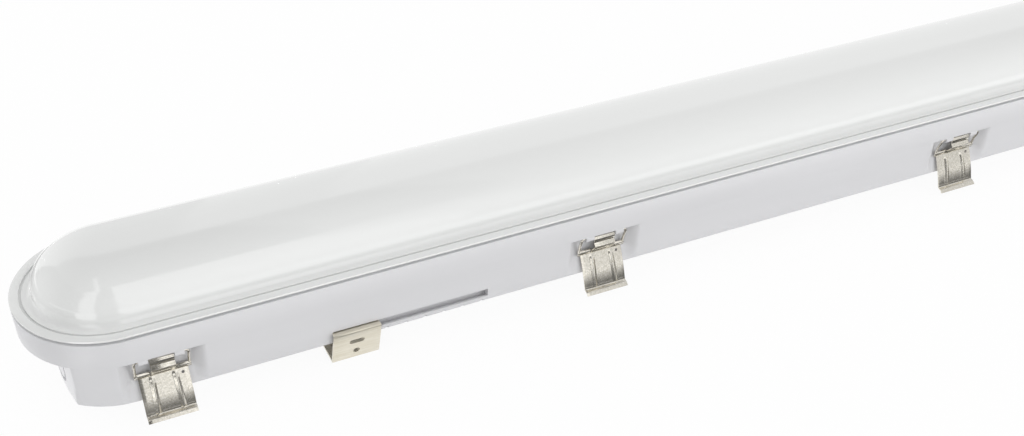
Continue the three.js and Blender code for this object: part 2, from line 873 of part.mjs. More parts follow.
function makeRetainer() {
  const { top, leg, legDepth, finger, hook, width } = retainer;
  const innerLeg = retainerOut - leg;
  const lipTop = trayZ + tray.lip + clearance;
  const wallTop = rimZ - housing.innerWallDrop + clearance;
  const outline = [
    [mouth + hook, rimZ + top],
    [innerLeg - finger, rimZ + top],
    [innerLeg - finger, lipTop],
    [innerLeg, lipTop],
    [innerLeg, rimZ - legDepth],
    [retainerOut, rimZ - legDepth],
    [retainerOut, wallTop],
    [mouth + hook, wallTop],
  ];
  return prismX(outline.map(nearSide).reverse(), width);
}

function boardStations() {
  return stations(board.count, boardLength + board.gap);
}

function boardScrewPlaces() {
  return boardStations().flatMap((x) => stations(screw.perBoard, boardLength / screw.perBoard).map((s) => x + s));
}

// Diagonal pair of screws through the tabs of the driver
function driverScrewPlaces() {
  const reach = driver.length / 2 + driver.tab / 2;
  return [-1, 1].map((side) => [driverX + side * reach, side * driver.screwSide]);
}

function outletPlace() {
  return [driverX - driver.length / 2 - wire.outletX, board.width / 2 + wire.outletSide];
}

function screwHole(x, y) {
  return hole(screw.shank + screw.holeGap, x, y, [driverTop - screw.reach, boardTop + overrun]);
}

function makeTray() {
  const { sheet, lip, outerBend } = tray;
  const side = trayHalf - sheet / 2;
  const middle = trayZ - sheet / 2;
  const half = [[side, trayZ + lip], [side, middle]];
  const line = [...half.map(nearSide), ...half.toReversed()];
  const folded = prismX(sheetOutline(line, sheet, outerBend), trayLength);
  const holes = [...driverScrewPlaces(), outletPlace(), [earthX, earth.side]].map(([x, y]) => screwHole(x, y));
  return geometryOf(cut(folded, holes, boardScrewPlaces().map((x) => screwHole(x, 0))));
}

function makeBoard(x) {
  const half = boardLength / 2;
  const plate = block([x - half, x + half], [-board.width / 2, board.width / 2], [boardZ, boardTop]);
  return geometryOf(cut(plate, boardScrewPlaces().map((place) => screwHole(place, 0))));
}

// Row of LED packages on their thin carrier, as one comb
function makeLeds(x) {
  const { length: long, width, height, perBoard, carrier, gap } = led;
  const low = boardTop + gap;
  const places = stations(perBoard, boardLength / perBoard).map((s) => x + s);
  const shape = new THREE.Shape();
  shape.moveTo(places[0] - long / 2, low);
  shape.lineTo(places[perBoard - 1] + long / 2, low);
  for (const place of places.toReversed()) {
    if (place < places[perBoard - 1]) shape.lineTo(place + long / 2, low + carrier);
    shape.lineTo(place + long / 2, low + height);
    shape.lineTo(place - long / 2, low + height);
    if (place > places[0]) shape.lineTo(place - long / 2, low + carrier);
  }
  const row = prismZ(shape, -width / 2, width / 2);
  return row.rotateX(Math.PI / 2).translate(0, board.strip, 0);
}

function makeDriverCase() {
  const { length: long, width, height, chamfer, tab, tabThickness } = driver;
  const half = width / 2;
  const bottom = driverTop - height;
  const outline = [
    [-half, driverTop],
    [-half, bottom + chamfer],
    [-half + chamfer, bottom],
    [half - chamfer, bottom],
    [half, bottom + chamfer],
    [half, driverTop],
  ];
  const box = prismX(outline, long).translate(driverX, 0, 0);
  const reach = long / 2 + tab;
  const tabs = block([driverX - reach, driverX + reach], [-half, half], [driverTop - tabThickness, driverTop]);
  return geometryOf(cut(joined(box, tabs), driverScrewPlaces().map(([sx, sy]) => screwHole(sx, sy))));
}

function makeDriverLid() {
  const { length: long, width, height, lid, lidInset, chamfer } = driver;
  const half = width / 2 - chamfer - lidInset;
  const top = driverTop - height - clearance;
  const profile = [
    [-half, top],
    [-half + lid, top - lid],
    [half - lid, top - lid],
    [half, top],
  ];
  return prismX(profile, long - lidInset * 2).translate(driverX, 0, 0);
}

function poleStations() {
  return stations(terminal.poles, terminal.width / terminal.poles);
}

function makeTerminalBlock() {
  const { length: long, width, height, bore, well, depth } = terminal;
  const bottom = driverTop - height;
  const [left, right] = [terminalX - long / 2, terminalX + long / 2];
  const body = block([left, right], [-width / 2, width / 2], [bottom, driverTop]);
  const cuts = poleStations().flatMap((y) => [
    rodX(bore, left - overrun, left + depth, smallSteps).translate(0, y, wireZ),
    rodX(bore, right - depth, right + overrun, smallSteps).translate(0, y, wireZ),
    hole(well, terminalX, y, [bottom - overrun, bottom + depth]),
  ]);
  return geometryOf(cut(body, cuts));
}

function makeTerminalScrew(y) {
  const top = driverTop - terminal.height + terminal.depth - clearance;
  return hole(terminal.well - clearance, terminalX, y, [top - terminal.screwLength, top]);
}

function wireAlong(points) {
  const path = new THREE.CatmullRomCurve3(points.map((p) => new THREE.Vector3(...p)));
  const section = new THREE.Shape();
  section.absarc(0, 0, wire.radius, 0, Math.PI * 2, false);
  return new THREE.ExtrudeGeometry(section, {
    steps: wire.steps,
    curveSegments: wire.sides / 2,
    bevelEnabled: false,
    extrudePath: path,
  });
}

// From the terminal block to the driver
function makeSupplyWire(y) {
  const from = terminalX - terminal.length / 2 + terminal.depth - wire.gap;
  const to = driverX + driver.length / 2 + wire.gap;
  return wireAlong([
    [from, y, wireZ],
    [from - wire.lead, y, wireZ],
    [(from + to) / 2, y, wireZ - wire.sag],
    [to + wire.lead, y, wireZ],
    [to, y, wireZ],
  ]);
}

// From the last pole to the shank of the earth screw
function makeEarthWire(y) {
  const from = terminalX + terminal.length / 2 - terminal.depth + wire.gap;
  const to = earthX - screw.shank - wire.gap;
  const end = trayUnder - earth.lugDrop;
  return wireAlong([
    [from, y, wireZ],
    [from + wire.lead, y, wireZ],
    [to - wire.lead, earth.side, end],
    [to, earth.side, end],
  ]);
}

// From the driver's end up through the tray to the middle board
function makeLedWires() {
  const [x, y] = outletPlace();
  const from = driverX - driver.length / 2 - wire.gap;
  const top = boardTop + wire.radius + wire.gap;
  const low = driverTop - driver.height / 2;
  return wireAlong([
    [from, y, low],
    [(from + x) / 2, y, low],
    [x, y, (low + trayZ) / 2],
    [x, y, trayZ - wire.bend],
    [x, y, trayZ],
    [x - wire.bend, y, top],
    [x - wire.lead, board.width / 2 - wire.radius * 2, top],
  ]);
}

// Cable gland in the far end's near-side entry

function hexPrism(radius, bore, [x0, x1]) {
  const { hexSides } = gland;
  const corners = Array.from({ length: hexSides }, (_, i) => (Math.PI * (i * 2 + 1)) / hexSides);
  const shape = shapeOf(corners.map((angle) => [radius * Math.cos(angle), radius * Math.sin(angle)]));
  const inner = new THREE.Path();
  inner.absarc(0, 0, bore, 0, Math.PI * 2, true);
  shape.holes.push(inner);
  return prismZ(shape, x0, x1, endArcSteps / 2).rotateY(Math.PI / 2);
}

// A ring about X from its section of [radius, x]
function ringX(section) {
  return turned([...section, section[0]], endArcSteps).rotateZ(-Math.PI / 2);
}

function sleeve([inner, outer], [x0, x1]) {
  return ringX([
    [inner, x0],
    [outer, x0],
    [outer, x1],
    [inner, x1],
  ]);
}

// Gland pieces along the entry's axis, x = 0 on the end face
function makeGland() {
  const { bore, thread, threadLength, hexRadius, barrel, domeRadius, domeNose, domeWall, lipRadius } = gland;
  const washer = [clearance, clearance + gland.washer];
  const hex = [washer[1] + clearance, washer[1] + clearance + gland.hexLength];
  const barrelEnd = hex[1] + gland.barrelLength;
  const dome = [hex[1] + clearance, hex[1] + clearance + gland.domeLength];
  const lipStart = dome[1] - domeWall;
  const innerFace = housing.endFaceRadius - housing.wall;
  const sag = innerFace - Math.sqrt(innerFace ** 2 - hexRadius ** 2);
  const nutEnd = -housing.wall - sag - clearance;
  const body = joined(
    sleeve([bore, thread], [-threadLength, hex[0] + clearance]),
    hexPrism(hexRadius, bore, hex),
    sleeve([bore, barrel], [hex[1] - clearance, barrelEnd]),
  );
  return {
    gland_body: geometryOf(body),
    gland_washer: sleeve([thread + clearance, hexRadius - clearance], washer),
    gland_bush: sleeve([gland.bushBore, barrel], [barrelEnd + clearance, lipStart - clearance]),
    gland_dome_nut: ringX([
      [barrel + clearance, dome[0]],
      [domeRadius, dome[0]],
      [domeRadius, (dome[0] + lipStart) / 2],
      [domeNose, dome[1]],
      [lipRadius, dome[1]],
      [lipRadius, lipStart],
      [barrel + clearance, lipStart],
    ]),
    gland_locknut: hexPrism(hexRadius, thread + clearance, [nutEnd - gland.nutLength, nutEnd]),
  };
}

// The finished assembly

const palette = {
  greyMoulding: { color: 0xd4d5da, roughness: 0.45, metalness: 0 },
  opal: { color: 0xe8eaea, roughness: 0.3, metalness: 0 },
  seal: { color: 0x8d8e90, roughness: 0.85, metalness: 0 },
  springSteel: { color: 0xcbc7bc, roughness: 0.22, metalness: 1 },
  bracketSteel: { color: 0xd9d5c8, roughness: 0.35, metalness: 1 },
  whiteSteel: { color: 0xf1f1ee, roughness: 0.5, metalness: 0 },
  whitePlastic: { color: 0xe9e9e4, roughness: 0.5, metalness: 0 },
  phosphor: { color: 0xf0d66a, roughness: 0.4, metalness: 0 },
  zincSteel: { color: 0xb8bcc0, roughness: 0.35, metalness: 1 },
  copperLead: { color: 0xe6e2d8, roughness: 0.6, metalness: 0 },
  greyPlastic: { color: 0x9fa2a6, roughness: 0.5, metalness: 0 },
};
const materials = Object.fromEntries(
  Object.entries(palette).map(([name, look]) => [name, new THREE.MeshStandardMaterial(look)]),
);

const fixture = new THREE.Group();

function addPiece(name, geometry, material, x = 0, turn = 0) {
  const mesh = new THREE.Mesh(geometry, materials[material]);
  mesh.name = name;
  mesh.position.x = x;
  mesh.rotation.z = turn;
  fixture.add(mesh);
}

addPiece("housing", makeHousing(), "greyMoulding");
addPiece("seal_gasket", makeGasket(), "seal");
addPiece("diffuser", makeDiffuser(), "opal");

const latchBody = makeLatch();
for (const [side, turn] of [["near", 0], ["far", Math.PI]]) {
  latchStations.forEach((x, i) => addPiece(`latch_${side}_${i + 1}`, latchBody, "springSteel", x, turn));
}

const bracketBody = makeBracket();
addPiece("mounting_bracket_left", bracketBody, "bracketSteel", -bracketX);
addPiece("mounting_bracket_right", bracketBody, "bracketSteel", bracketX, Math.PI);

addPiece("gear_tray", makeTray(), "whiteSteel");
const retainerBody = makeRetainer();
for (const [side, turn] of [["near", 0], ["far", Math.PI]]) {
  retainerStations.forEach((x, i) => {
    addPiece(`tray_retainer_${side}_${i + 1}`, retainerBody, "greyPlastic", x, turn);
  });
}
boardStations().forEach((x, i) => {
  addPiece(`led_board_${i + 1}`, makeBoard(x), "whitePlastic");
  addPiece(`led_packages_${i + 1}`, makeLeds(x), "phosphor");
});
const boardSeat = boardTop + led.gap;
boardScrewPlaces().forEach((x, i) => {
  addPiece(`board_screw_${i + 1}`, screwBody(boardSeat - trayUnder).translate(x, 0, boardSeat), "zincSteel");
});

addPiece("driver_case", makeDriverCase(), "whitePlastic");
addPiece("driver_lid", makeDriverLid(), "greyPlastic");
driverScrewPlaces().forEach(([x, y], i) => {
  addPiece(`driver_screw_${i + 1}`, screwBody().translate(x, y, trayZ + clearance), "zincSteel");
});
addPiece("terminal_block", makeTerminalBlock(), "whitePlastic");
const [livePole, neutralPole, earthPole] = poleStations();
poleStations().forEach((y, i) => addPiece(`terminal_screw_${i + 1}`, makeTerminalScrew(y), "zincSteel"));
addPiece("supply_wire_live", makeSupplyWire(livePole), "copperLead");
addPiece("supply_wire_neutral", makeSupplyWire(neutralPole), "copperLead");
addPiece("earth_wire", makeEarthWire(earthPole), "copperLead");
addPiece("earth_screw", screwBody().translate(earthX, earth.side, trayZ + clearance), "zincSteel");
addPiece("led_wires", makeLedWires(), "copperLead");

for (const [name, geometry] of Object.entries(makeGland())) {
  addPiece(name, onEndFace(geometry, 1, -1), name === "gland_locknut" ? "greyMoulding" : "greyPlastic");
}

export default fixture;
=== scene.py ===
import math

import bmesh
import bpy
from mathutils import Matrix, Vector


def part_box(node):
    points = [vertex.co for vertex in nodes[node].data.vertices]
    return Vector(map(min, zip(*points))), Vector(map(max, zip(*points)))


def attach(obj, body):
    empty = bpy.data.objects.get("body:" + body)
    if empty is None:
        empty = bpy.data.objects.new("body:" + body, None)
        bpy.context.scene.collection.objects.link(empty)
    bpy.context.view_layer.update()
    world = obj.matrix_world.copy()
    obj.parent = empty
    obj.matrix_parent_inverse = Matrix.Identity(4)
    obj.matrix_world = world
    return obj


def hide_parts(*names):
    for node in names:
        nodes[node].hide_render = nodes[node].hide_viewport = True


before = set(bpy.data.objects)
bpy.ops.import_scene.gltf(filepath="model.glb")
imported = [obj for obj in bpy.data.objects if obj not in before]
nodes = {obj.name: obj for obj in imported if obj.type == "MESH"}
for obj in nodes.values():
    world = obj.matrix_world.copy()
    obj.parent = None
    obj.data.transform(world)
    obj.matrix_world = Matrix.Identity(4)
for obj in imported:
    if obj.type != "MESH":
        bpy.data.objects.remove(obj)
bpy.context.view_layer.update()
scene = bpy.context.scene
mm = 0.001  # sizes below are millimetres, the scene is in metres
hair = 0.01  # gap between levels and edges that look like one


def cadBox(node):
    low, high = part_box(node)
    return low / mm, high / mm


def middleX(node):
    low, high = cadBox(node)
    return (low.x + high.x) / 2


# Places that the frame gives. Out is the distance from the centre plane or from the spine
housingLow, housingHigh = cadBox("housing")
gasketLow, gasketHigh = cadBox("seal_gasket")
length = housingHigh.x * 2
rimOut = housingHigh.y
spine = length / 2 - rimOut
floorZ = housingLow.z
housingDepth = 47.5
rimZ = floorZ + housingDepth
latchCount = sum(name.startswith("latch_near") for name in nodes)
latchStations = [middleX(f"latch_near_{i + 1}") for i in range(latchCount)]
latchSpacing = latchStations[1] - latchStations[0]
waist = latchStations[-1]
bracketX = middleX("mounting_bracket_right")
print("frame read:", len(nodes), "nodes, length", round(length), "mm")


# Small helpers

def linear(hexColour):
    parts = [int(hexColour[i:i + 2], 16) / 255 for i in (1, 3, 5)]
    return [c / 12.92 if c <= 0.04045 else ((c + 0.055) / 1.055) ** 2.4 for c in parts] + [1]


def addNode(tree, kind, values=None, **settings):
    node = tree.nodes.new(kind)
    for key, value in settings.items():
        setattr(node, key, value)
    for key, value in (values or {}).items():
        if isinstance(value, bpy.types.NodeSocket):
            tree.links.new(value, node.inputs[key])
        else:
            node.inputs[key].default_value = value
    return node


def smoothStep(value):
    share = min(1, max(0, value))
    return share * share * (3 - 2 * share)


def mix(low, high, share):
    return low + (high - low) * share


def softMin(a, b, width):
    # the smaller of two distances, with the corner between them rounded over this width
    blend = max(width - abs(a - b), 0) / width
    return min(a, b) - blend * blend * width / 4


def arcPoints(centre, radius, start, end, steps):
    # points of [out, z] on an arc, angles in degrees
    angles = [math.radians(mix(start, end, i / steps)) for i in range(steps + 1)]
    return [(centre[0] + radius * math.cos(a), centre[1] + radius * math.sin(a)) for a in angles]


def softened(points, radius, steps=4):
    # an open line with its corners rounded
    line = [points[0]]
    for before, corner, after in zip(points, points[1:], points[2:]):
        here = Vector(corner)
        back, onward = Vector(before) - here, Vector(after) - here
        reach = min(radius, back.length * 0.48, onward.length * 0.48)
        start, end = here + back.normalized() * reach, here + onward.normalized() * reach
        for i in range(steps + 1):
            t = i / steps
            line.append(tuple(start * (1 - t) ** 2 + here * 2 * t * (1 - t) + end * t ** 2))
    return line + [points[-1]]


def newObject(name, data):
    piece = bpy.data.objects.new(name, data)
    scene.collection.objects.link(piece)
    return piece


def newMesh(name, vertices, faces):
    data = bpy.data.meshes.new(name)
    data.from_pydata([[c * mm for c in v] for v in vertices], [], faces)
    data.validate()
    return newObject(name, data)


def facingOut(piece):
    # turns every face of a closed mesh outwards
    work = bmesh.new()
    work.from_mesh(piece.data)
    bmesh.ops.remove_doubles(work, verts=work.verts, dist=0.001 * mm)
    bmesh.ops.recalc_face_normals(work, faces=work.faces)
    work.to_mesh(piece.data)
    work.free()
    return piece


def newSolid(name, *parts):
    # one mesh of closed solids, each given as its vertices and faces
    vertices, faces = [], []
    for points, polygons in parts:
        faces += [[len(vertices) + i for i in polygon] for polygon in polygons]
        vertices += points
    return facingOut(newMesh(name, vertices, faces))


def smoothed(piece, angle=34):
    piece.data.polygons.foreach_set("use_smooth", [True] * len(piece.data.polygons))
    piece.data.set_sharp_from_angle(angle=math.radians(angle))
    return piece


def asPlainMesh(piece, name):
    # the shape that the modifiers give, as a mesh without them
    depsgraph = bpy.context.evaluated_depsgraph_get()
    data = bpy.data.meshes.new_from_object(piece.evaluated_get(depsgraph), depsgraph=depsgraph)
    data.name = name
    bpy.data.objects.remove(piece)
    return newObject(name, data)


def joined(name, parts):
    work = bmesh.new()
    for part in parts:
        work.from_mesh(part.data)
        bpy.data.objects.remove(part)
    data = bpy.data.meshes.new(name)
    work.to_mesh(data)
    work.free()
    return newObject(name, data)


def bevelled(piece, width, name, angle=60):
    bevel = piece.modifiers.new("edges", "BEVEL")
    bevel.width = width * mm
    bevel.segments = 2
    bevel.limit_method = "ANGLE"
    bevel.angle_limit = math.radians(angle)
    return asPlainMesh(piece, name)


def cutWith(piece, cutter):
    name = piece.name
    modifier = facingOut(piece).modifiers.new("holes", "BOOLEAN")
    modifier.operation = "DIFFERENCE"
    modifier.solver = "EXACT"
    modifier.object = cutter
    piece.name = name + "_uncut"
    plain = asPlainMesh(piece, name)
    bpy.data.objects.remove(cutter)
    return plain


def paint(piece, materialName):
    piece.data.materials.clear()
    piece.data.materials.append(materials[materialName])


def dress(piece, slotName, body, *replaced):
    paint(piece, slotName)
    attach(piece, body)
    if replaced:
        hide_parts(*replaced)


def squareTo(point, down):
    # moves a cutter to a point of a sheet whose slope runs down this way
    across = Vector((1, 0, 0))
    basis = Matrix((across, down, across.cross(down))).transposed().to_4x4()
    return Matrix.Translation(point) @ basis


# Closed solids, each as its vertices and faces

def skinFaces(ringCount, count, closed=False):
    # walls between rings of points that follow each other
    faces = []
    for r in range(ringCount if closed else ringCount - 1):
        low, high = r * count, (r + 1) % ringCount * count
        for i in range(count):
            j = (i + 1) % count
            faces.append((low + i, low + j, high + j, high + i))
    return faces


def closedFaces(ringCount, count):
    # the same walls with a face across each end
    last = (ringCount - 1) * count
    ends = [tuple(reversed(range(count))), tuple(range(last, last + count))]
    return skinFaces(ringCount, count) + ends


def prismSolid(outline, x0, x1):
    # an outline of (y, z) drawn out along x
    return [(x, y, z) for x in (x0, x1) for y, z in outline], closedFaces(2, len(outline))


def ringSolid(section, steps, place):
    # a closed ring about the x axis from its section of (radius, x), placed by a matrix
    vertices = []
    for k in range(steps):
        a = 2 * math.pi * k / steps
        vertices += [place @ Vector((x, r * math.cos(a), r * math.sin(a))) for r, x in section]
    return vertices, skinFaces(steps, len(section), closed=True)


def tubeSolid(path, radius, steps):
    # a round bar along a path
    points = [Vector(p) for p in path]
    side = Vector((0, 1, 0))
    vertices = []
    for k, point in enumerate(points):
        ahead = (points[min(k + 1, len(points) - 1)] - points[max(k - 1, 0)]).normalized()
        side = (side - ahead * side.dot(ahead)).normalized()
        up = ahead.cross(side)
        for i in range(steps):
            a = 2 * math.pi * i / steps
            vertices.append(point + radius * (math.cos(a) * side + math.sin(a) * up))
    return vertices, closedFaces(len(points), steps)


def slotSolid(run, width, depth, place, steps=10):
    # a cutter with round ends, long in x and deep in z, placed by a matrix
    radius, reach = width / 2, (run - width) / 2
    outline = arcPoints((reach, 0), radius, -90, 90, steps)
    outline += arcPoints((-reach, 0), radius, 90, 270, steps)
    vertices = [place @ Vector((x, y, z)) for z in (-depth, depth) for x, y in outline]
    return vertices, closedFaces(2, len(outline))


# Skins that go round the fixture

def stadiumColumns(endSteps, sideStops):
    # (base x, angle) of each upright column, counterclockwise seen from above
    rightEnd = [(spine, math.pi * (i / endSteps - 0.5)) for i in range(endSteps + 1)]
    far = [(x, math.pi / 2) for x in sorted(sideStops, reverse=True)]
    leftEnd = [(-spine, math.pi * (i / endSteps + 0.5)) for i in range(endSteps + 1)]
    near = [(x, -math.pi / 2) for x in sorted(sideStops)]
    return rightEnd + far + leftEnd + near


def onColumn(column, out, z):
    base, angle = column
    return (base + out * math.cos(angle), out * math.sin(angle), z)


def swept(columns, profile):
    # a ring of points for each (out, z) of a profile
    return [onColumn(column, out, z) for out, z in profile for column in columns]


def cappedFaces(ringCount, count, endSteps):
    # walls, and strips across the first and the last ring from right tip to left tip
    tip = endSteps // 2
    pairs = [((tip - k) % count, (tip + k) % count) for k in range(count // 2 + 1)]
    faces = skinFaces(ringCount, count)
    for start, turn in ((0, -1), ((ringCount - 1) * count, 1)):
        for (a, b), (c, d) in zip(pairs, pairs[1:]):
            corners = list(dict.fromkeys([a, b, d, c]))[::turn]
            faces.append([start + i for i in corners])
    return faces


# Materials

def newMaterial(name, roughness=0.5, metallic=0.0, ior=1.5):
    material = bpy.data.materials.new(name)
    material.use_nodes = True
    shader = material.node_tree.nodes["Principled BSDF"]
    for key, value in (("Roughness", roughness), ("Metallic", metallic), ("IOR", ior)):
        shader.inputs[key].default_value = value
    return material, shader


def grain(shader, size, detail=3, stretch=(1, 1, 1)):
    # noise whose lumps are about this many millimetres across, longer where stretch is over 1
    tree = shader.id_data
    scaled = addNode(tree, "ShaderNodeMapping", {
        "Vector": addNode(tree, "ShaderNodeTexCoord").outputs["Object"],
        "Scale": [1 / s for s in stretch],
    })
    return addNode(tree, "ShaderNodeTexNoise", {
        "Vector": scaled.outputs["Vector"], "Scale": 1 / (size * mm), "Detail": detail,
    }).outputs["Fac"]


def wired(shader, output, name):
    shader.id_data.links.new(output, shader.inputs[name])


def tinted(shader, fac, dark, light):
    # most of the noise lies between 0.3 and 0.7
    ramp = addNode(shader.id_data, "ShaderNodeValToRGB", {"Fac": fac})
    for stop, position, colour in zip(ramp.color_ramp.elements, (0.3, 0.7), (dark, light)):
        stop.position = position
        stop.color = linear(colour)
    wired(shader, ramp.outputs["Color"], "Base Color")


def roughened(shader, fac, low, high):
    spread = addNode(shader.id_data, "ShaderNodeMapRange", {
        "Value": fac, "To Min": low, "To Max": high,
    })
    wired(shader, spread.outputs["Result"], "Roughness")


def textured(shader, fac, depth, strength=1.0):
    # depth in millimetres
    bump = addNode(shader.id_data, "ShaderNodeBump", {
        "Height": fac, "Distance": depth * mm, "Strength": strength,
    })
    wired(shader, bump.outputs["Normal"], "Normal")


def mouldedHousing():
    # Injection-moulded light grey PC/ABS from a spark-eroded tool: a soft satin sheen and long
    # faint sweeps where the melt ran. The erosion is drawn at 0.9 mm to show at all.
    material, shader = newMaterial("pcAbsMouldedGrey", 0.42, ior=1.53)
    tinted(shader, grain(shader, 22, stretch=(9, 1, 1)), "#d4d4d6", "#d8d8da")
    textured(shader, grain(shader, 0.9), 0.012)
    return material


def opalPolycarbonate():
    # Injection-moulded opal polycarbonate: milky white, with a gloss that keeps reflections
    # readable and a slight waviness of the long wall.
    material, shader = newMaterial("polycarbonateOpalMoulded", 0.1, ior=1.585)
    shader.inputs["Coat Weight"].default_value = 1
    shader.inputs["Coat Roughness"].default_value = 0.08
    tinted(shader, grain(shader, 60, stretch=(6, 1, 1)), "#e5e6e5", "#e9eae9")
    textured(shader, grain(shader, 34, detail=1, stretch=(3, 1, 1)), 0.05, 0.35)
    return material


def foamSeal():
    # Poured polyurethane foam, closed-cell: matt grey with a fine skin of bubbles.
    material, shader = newMaterial("polyurethaneFoamPoured", 0.85)
    tinted(shader, grain(shader, 1.2), "#7f8082", "#9a9b9d")
    textured(shader, grain(shader, 1.2), 0.1)
    return material


def springSteel():
    # Stainless spring steel, stamped and tumbled: bright and slightly warm, with a pebbled
    # skin whose grain of 0.7 mm breaks up what it mirrors.
    material, shader = newMaterial("stainlessSpringStampedTumbled", metallic=1.0)
    pebble = grain(shader, 0.7, detail=4)
    tinted(shader, grain(shader, 1.1, detail=4), "#dfdacd", "#f5f1e8")
    roughened(shader, pebble, 0.14, 0.3)
    textured(shader, pebble, 0.02, 0.5)
    return material


def bracketSteel():
    # Steel strip, stamped and nickel plated: a pale warm satin with faint rolling lines, drawn
    # at 1.1 mm.
    material, shader = newMaterial("steelStampedNickelPlated", metallic=0.85)
    lines = grain(shader, 1.1, stretch=(12, 1, 1))
    tinted(shader, lines, "#dcd5c2", "#ebe6d8")
    roughened(shader, lines, 0.24, 0.4)
    return material


def powderCoat():
    # Steel sheet, folded and powder coated white: satin with a slight orange peel of 1.5 mm.
    material, shader = newMaterial("steelPowderCoatedWhite", 0.45)
    tinted(shader, grain(shader, 18), "#ececea", "#f2f2f0")
    textured(shader, grain(shader, 1.5, detail=1), 0.03)
    return material


def solderMask():
    # Glass-epoxy board with a screen-printed white solder mask: smooth and slightly glossy.
    material, shader = newMaterial("glassEpoxyWhiteSolderMask", 0.32)
    tinted(shader, grain(shader, 3), "#ebebe5", "#f1f1ec")
    return material


def phosphorResin():
    # Silicone filled with yellow phosphor, dosed into the package: matt with tiny grains.
    material, shader = newMaterial("siliconePhosphorDosed", 0.5)
    tinted(shader, grain(shader, 0.5), "#ebcf5c", "#f4dd7d")
    return material


def zincPlate():
    # Cold-headed steel, blue zinc plated: grey metal with a light haze.
    material, shader = newMaterial("steelZincPlated", metallic=1.0)
    shader.inputs["Base Color"].default_value = linear("#b9bdc1")
    roughened(shader, grain(shader, 1.4), 0.25, 0.42)
    return material


def mouldedPlastic(name, roughness, dark, light):
    # A plain injection-moulded plastic with the fine even texture of its tool, drawn at 0.8 mm.
    material, shader = newMaterial(name, roughness)
    tinted(shader, grain(shader, 12), dark, light)
    textured(shader, grain(shader, 0.8), 0.01)
    return material


materials = {
    "housing": mouldedHousing(),
    "diffuser": opalPolycarbonate(),
    "seal_gasket": foamSeal(),
    "latch": springSteel(),
    "bracket": bracketSteel(),
    "tray": powderCoat(),
    "board": solderMask(),
    "led": phosphorResin(),
    "screw": zincPlate(),
    "retainer": mouldedPlastic("polypropyleneMouldedGrey", 0.45, "#a0a3a7", "#a8abaf"),
    "driver": mouldedPlastic("polycarbonateMouldedWhite", 0.4, "#e6e6e1", "#ecece8"),
    "terminal": mouldedPlastic("polyamideMouldedWhite", 0.5, "#e0e0d9", "#e8e8e2"),
    "wire": mouldedPlastic("siliconeExtrudedWhite", 0.55, "#e3dfd5", "#ece8df"),
    "gland": mouldedPlastic("polyamideMouldedGrey", 0.42, "#a5a8ac", "#adb0b4"),
    "gland_seal": mouldedPlastic("neopreneMouldedDark", 0.7, "#454648", "#505153"),
}
print("materials made:", len(materials))


# Housing

housingSizes = dict(
    wall=2.4, bandHeight=17.8, bandFootInset=0.5, bandRound=0.2, roundSteps=3,
    rimDrop=1.2, rimRound=0.4, rimEdge=0.2, shadowStep=3, lipRise=0.2,
    bodyTopInset=0.85, bodyBottomInset=3.85, fillet=4, filletMargin=0.5, floorMargin=1,
    endBottomInset=3, endFillet=1.4, endFaceInset=17, endFaceRadius=182, endCorner=0.25,
    channelInset=6.65, channelWidth=2.2, channelDepth=4.5, mouthInset=10.65,
    mouthDepth=7.5, innerDrop=1, roomDrop=10, roomRise=6, roomEdge=2, roofEdge=0.5,
    pocketHalf=16.2, pocketMiddle=8, pocketFlank=8.5, flankSteps=12, flankMargin=1,
    pocketInset=8.45, pocketKnee=17.2, kneeSpread=0.8, kneeSoft=0.5, pocketFillet=1.6,
    grooveLead=13.6, grooveInset=8.05, grooveDown=36.9, grooveHeight=5.2,
    grooveLength=97.2, grooveLip=1.3, grooveSink=2.4, detentInset=6.25, detentRise=2.2,
    detentWidth=1.8, detentPitch=12.2, detentGap=3.2, detentCount=6, edge=0.25,
    endSteps=96, filletSteps=6, passageHalf=6.3, passageInset=3.05, passageDepth=2.9,
    passageFoot=3, passageTop=2, smoothAngle=22,
)
bandZ = rimZ - housingSizes["bandHeight"]
grooveStart = bracketX + housingSizes["grooveLead"]
grooveEnd = grooveStart - housingSizes["grooveLength"]


def detentPlaces():
    s = housingSizes
    first = grooveEnd + s["detentGap"]
    return [first + i * s["detentPitch"] for i in range(s["detentCount"])]


def housingStops():
    # where columns stand along a side, close together at what is cut into it
    s = housingSizes
    stops = set()
    outer = s["pocketHalf"] + s["pocketFlank"]
    for station in latchStations:
        steps = s["flankSteps"]
        offsets = [mix(outer, s["pocketHalf"], i / steps) for i in range(steps + 1)]
        offsets += [outer + s["flankMargin"], s["pocketMiddle"], 0]
        stops.update(station + side * offset for offset in offsets for side in (-1, 1))
    for side in (-1, 1):
        for end in (grooveEnd, grooveStart):
            stops.update([side * end, side * end + s["edge"], side * end - s["edge"]])
        for place in detentPlaces():
            for half in (s["detentWidth"] / 2, s["detentWidth"] / 2 + s["edge"]):
                stops.update([side * place - half, side * place + half])
    return [x for x in stops if abs(x) < spine]


def pocketShare(x):
    # 0 on the plain wall, 1 in the full depth behind a latch
    s = housingSizes
    nearest = min(abs(x - station) for station in latchStations)
    return smoothStep((s["pocketHalf"] + s["pocketFlank"] - nearest) / s["pocketFlank"])


def pocketBack(z):
    s = housingSizes
    bottom, back = rimOut - s["bodyBottomInset"], rimOut - s["pocketInset"]
    knee = bandZ - s["pocketKnee"]
    if z >= knee:
        return back
    return softMin(mix(bottom, back, (z - floorZ) / (knee - floorZ)), bottom, s["kneeSoft"])


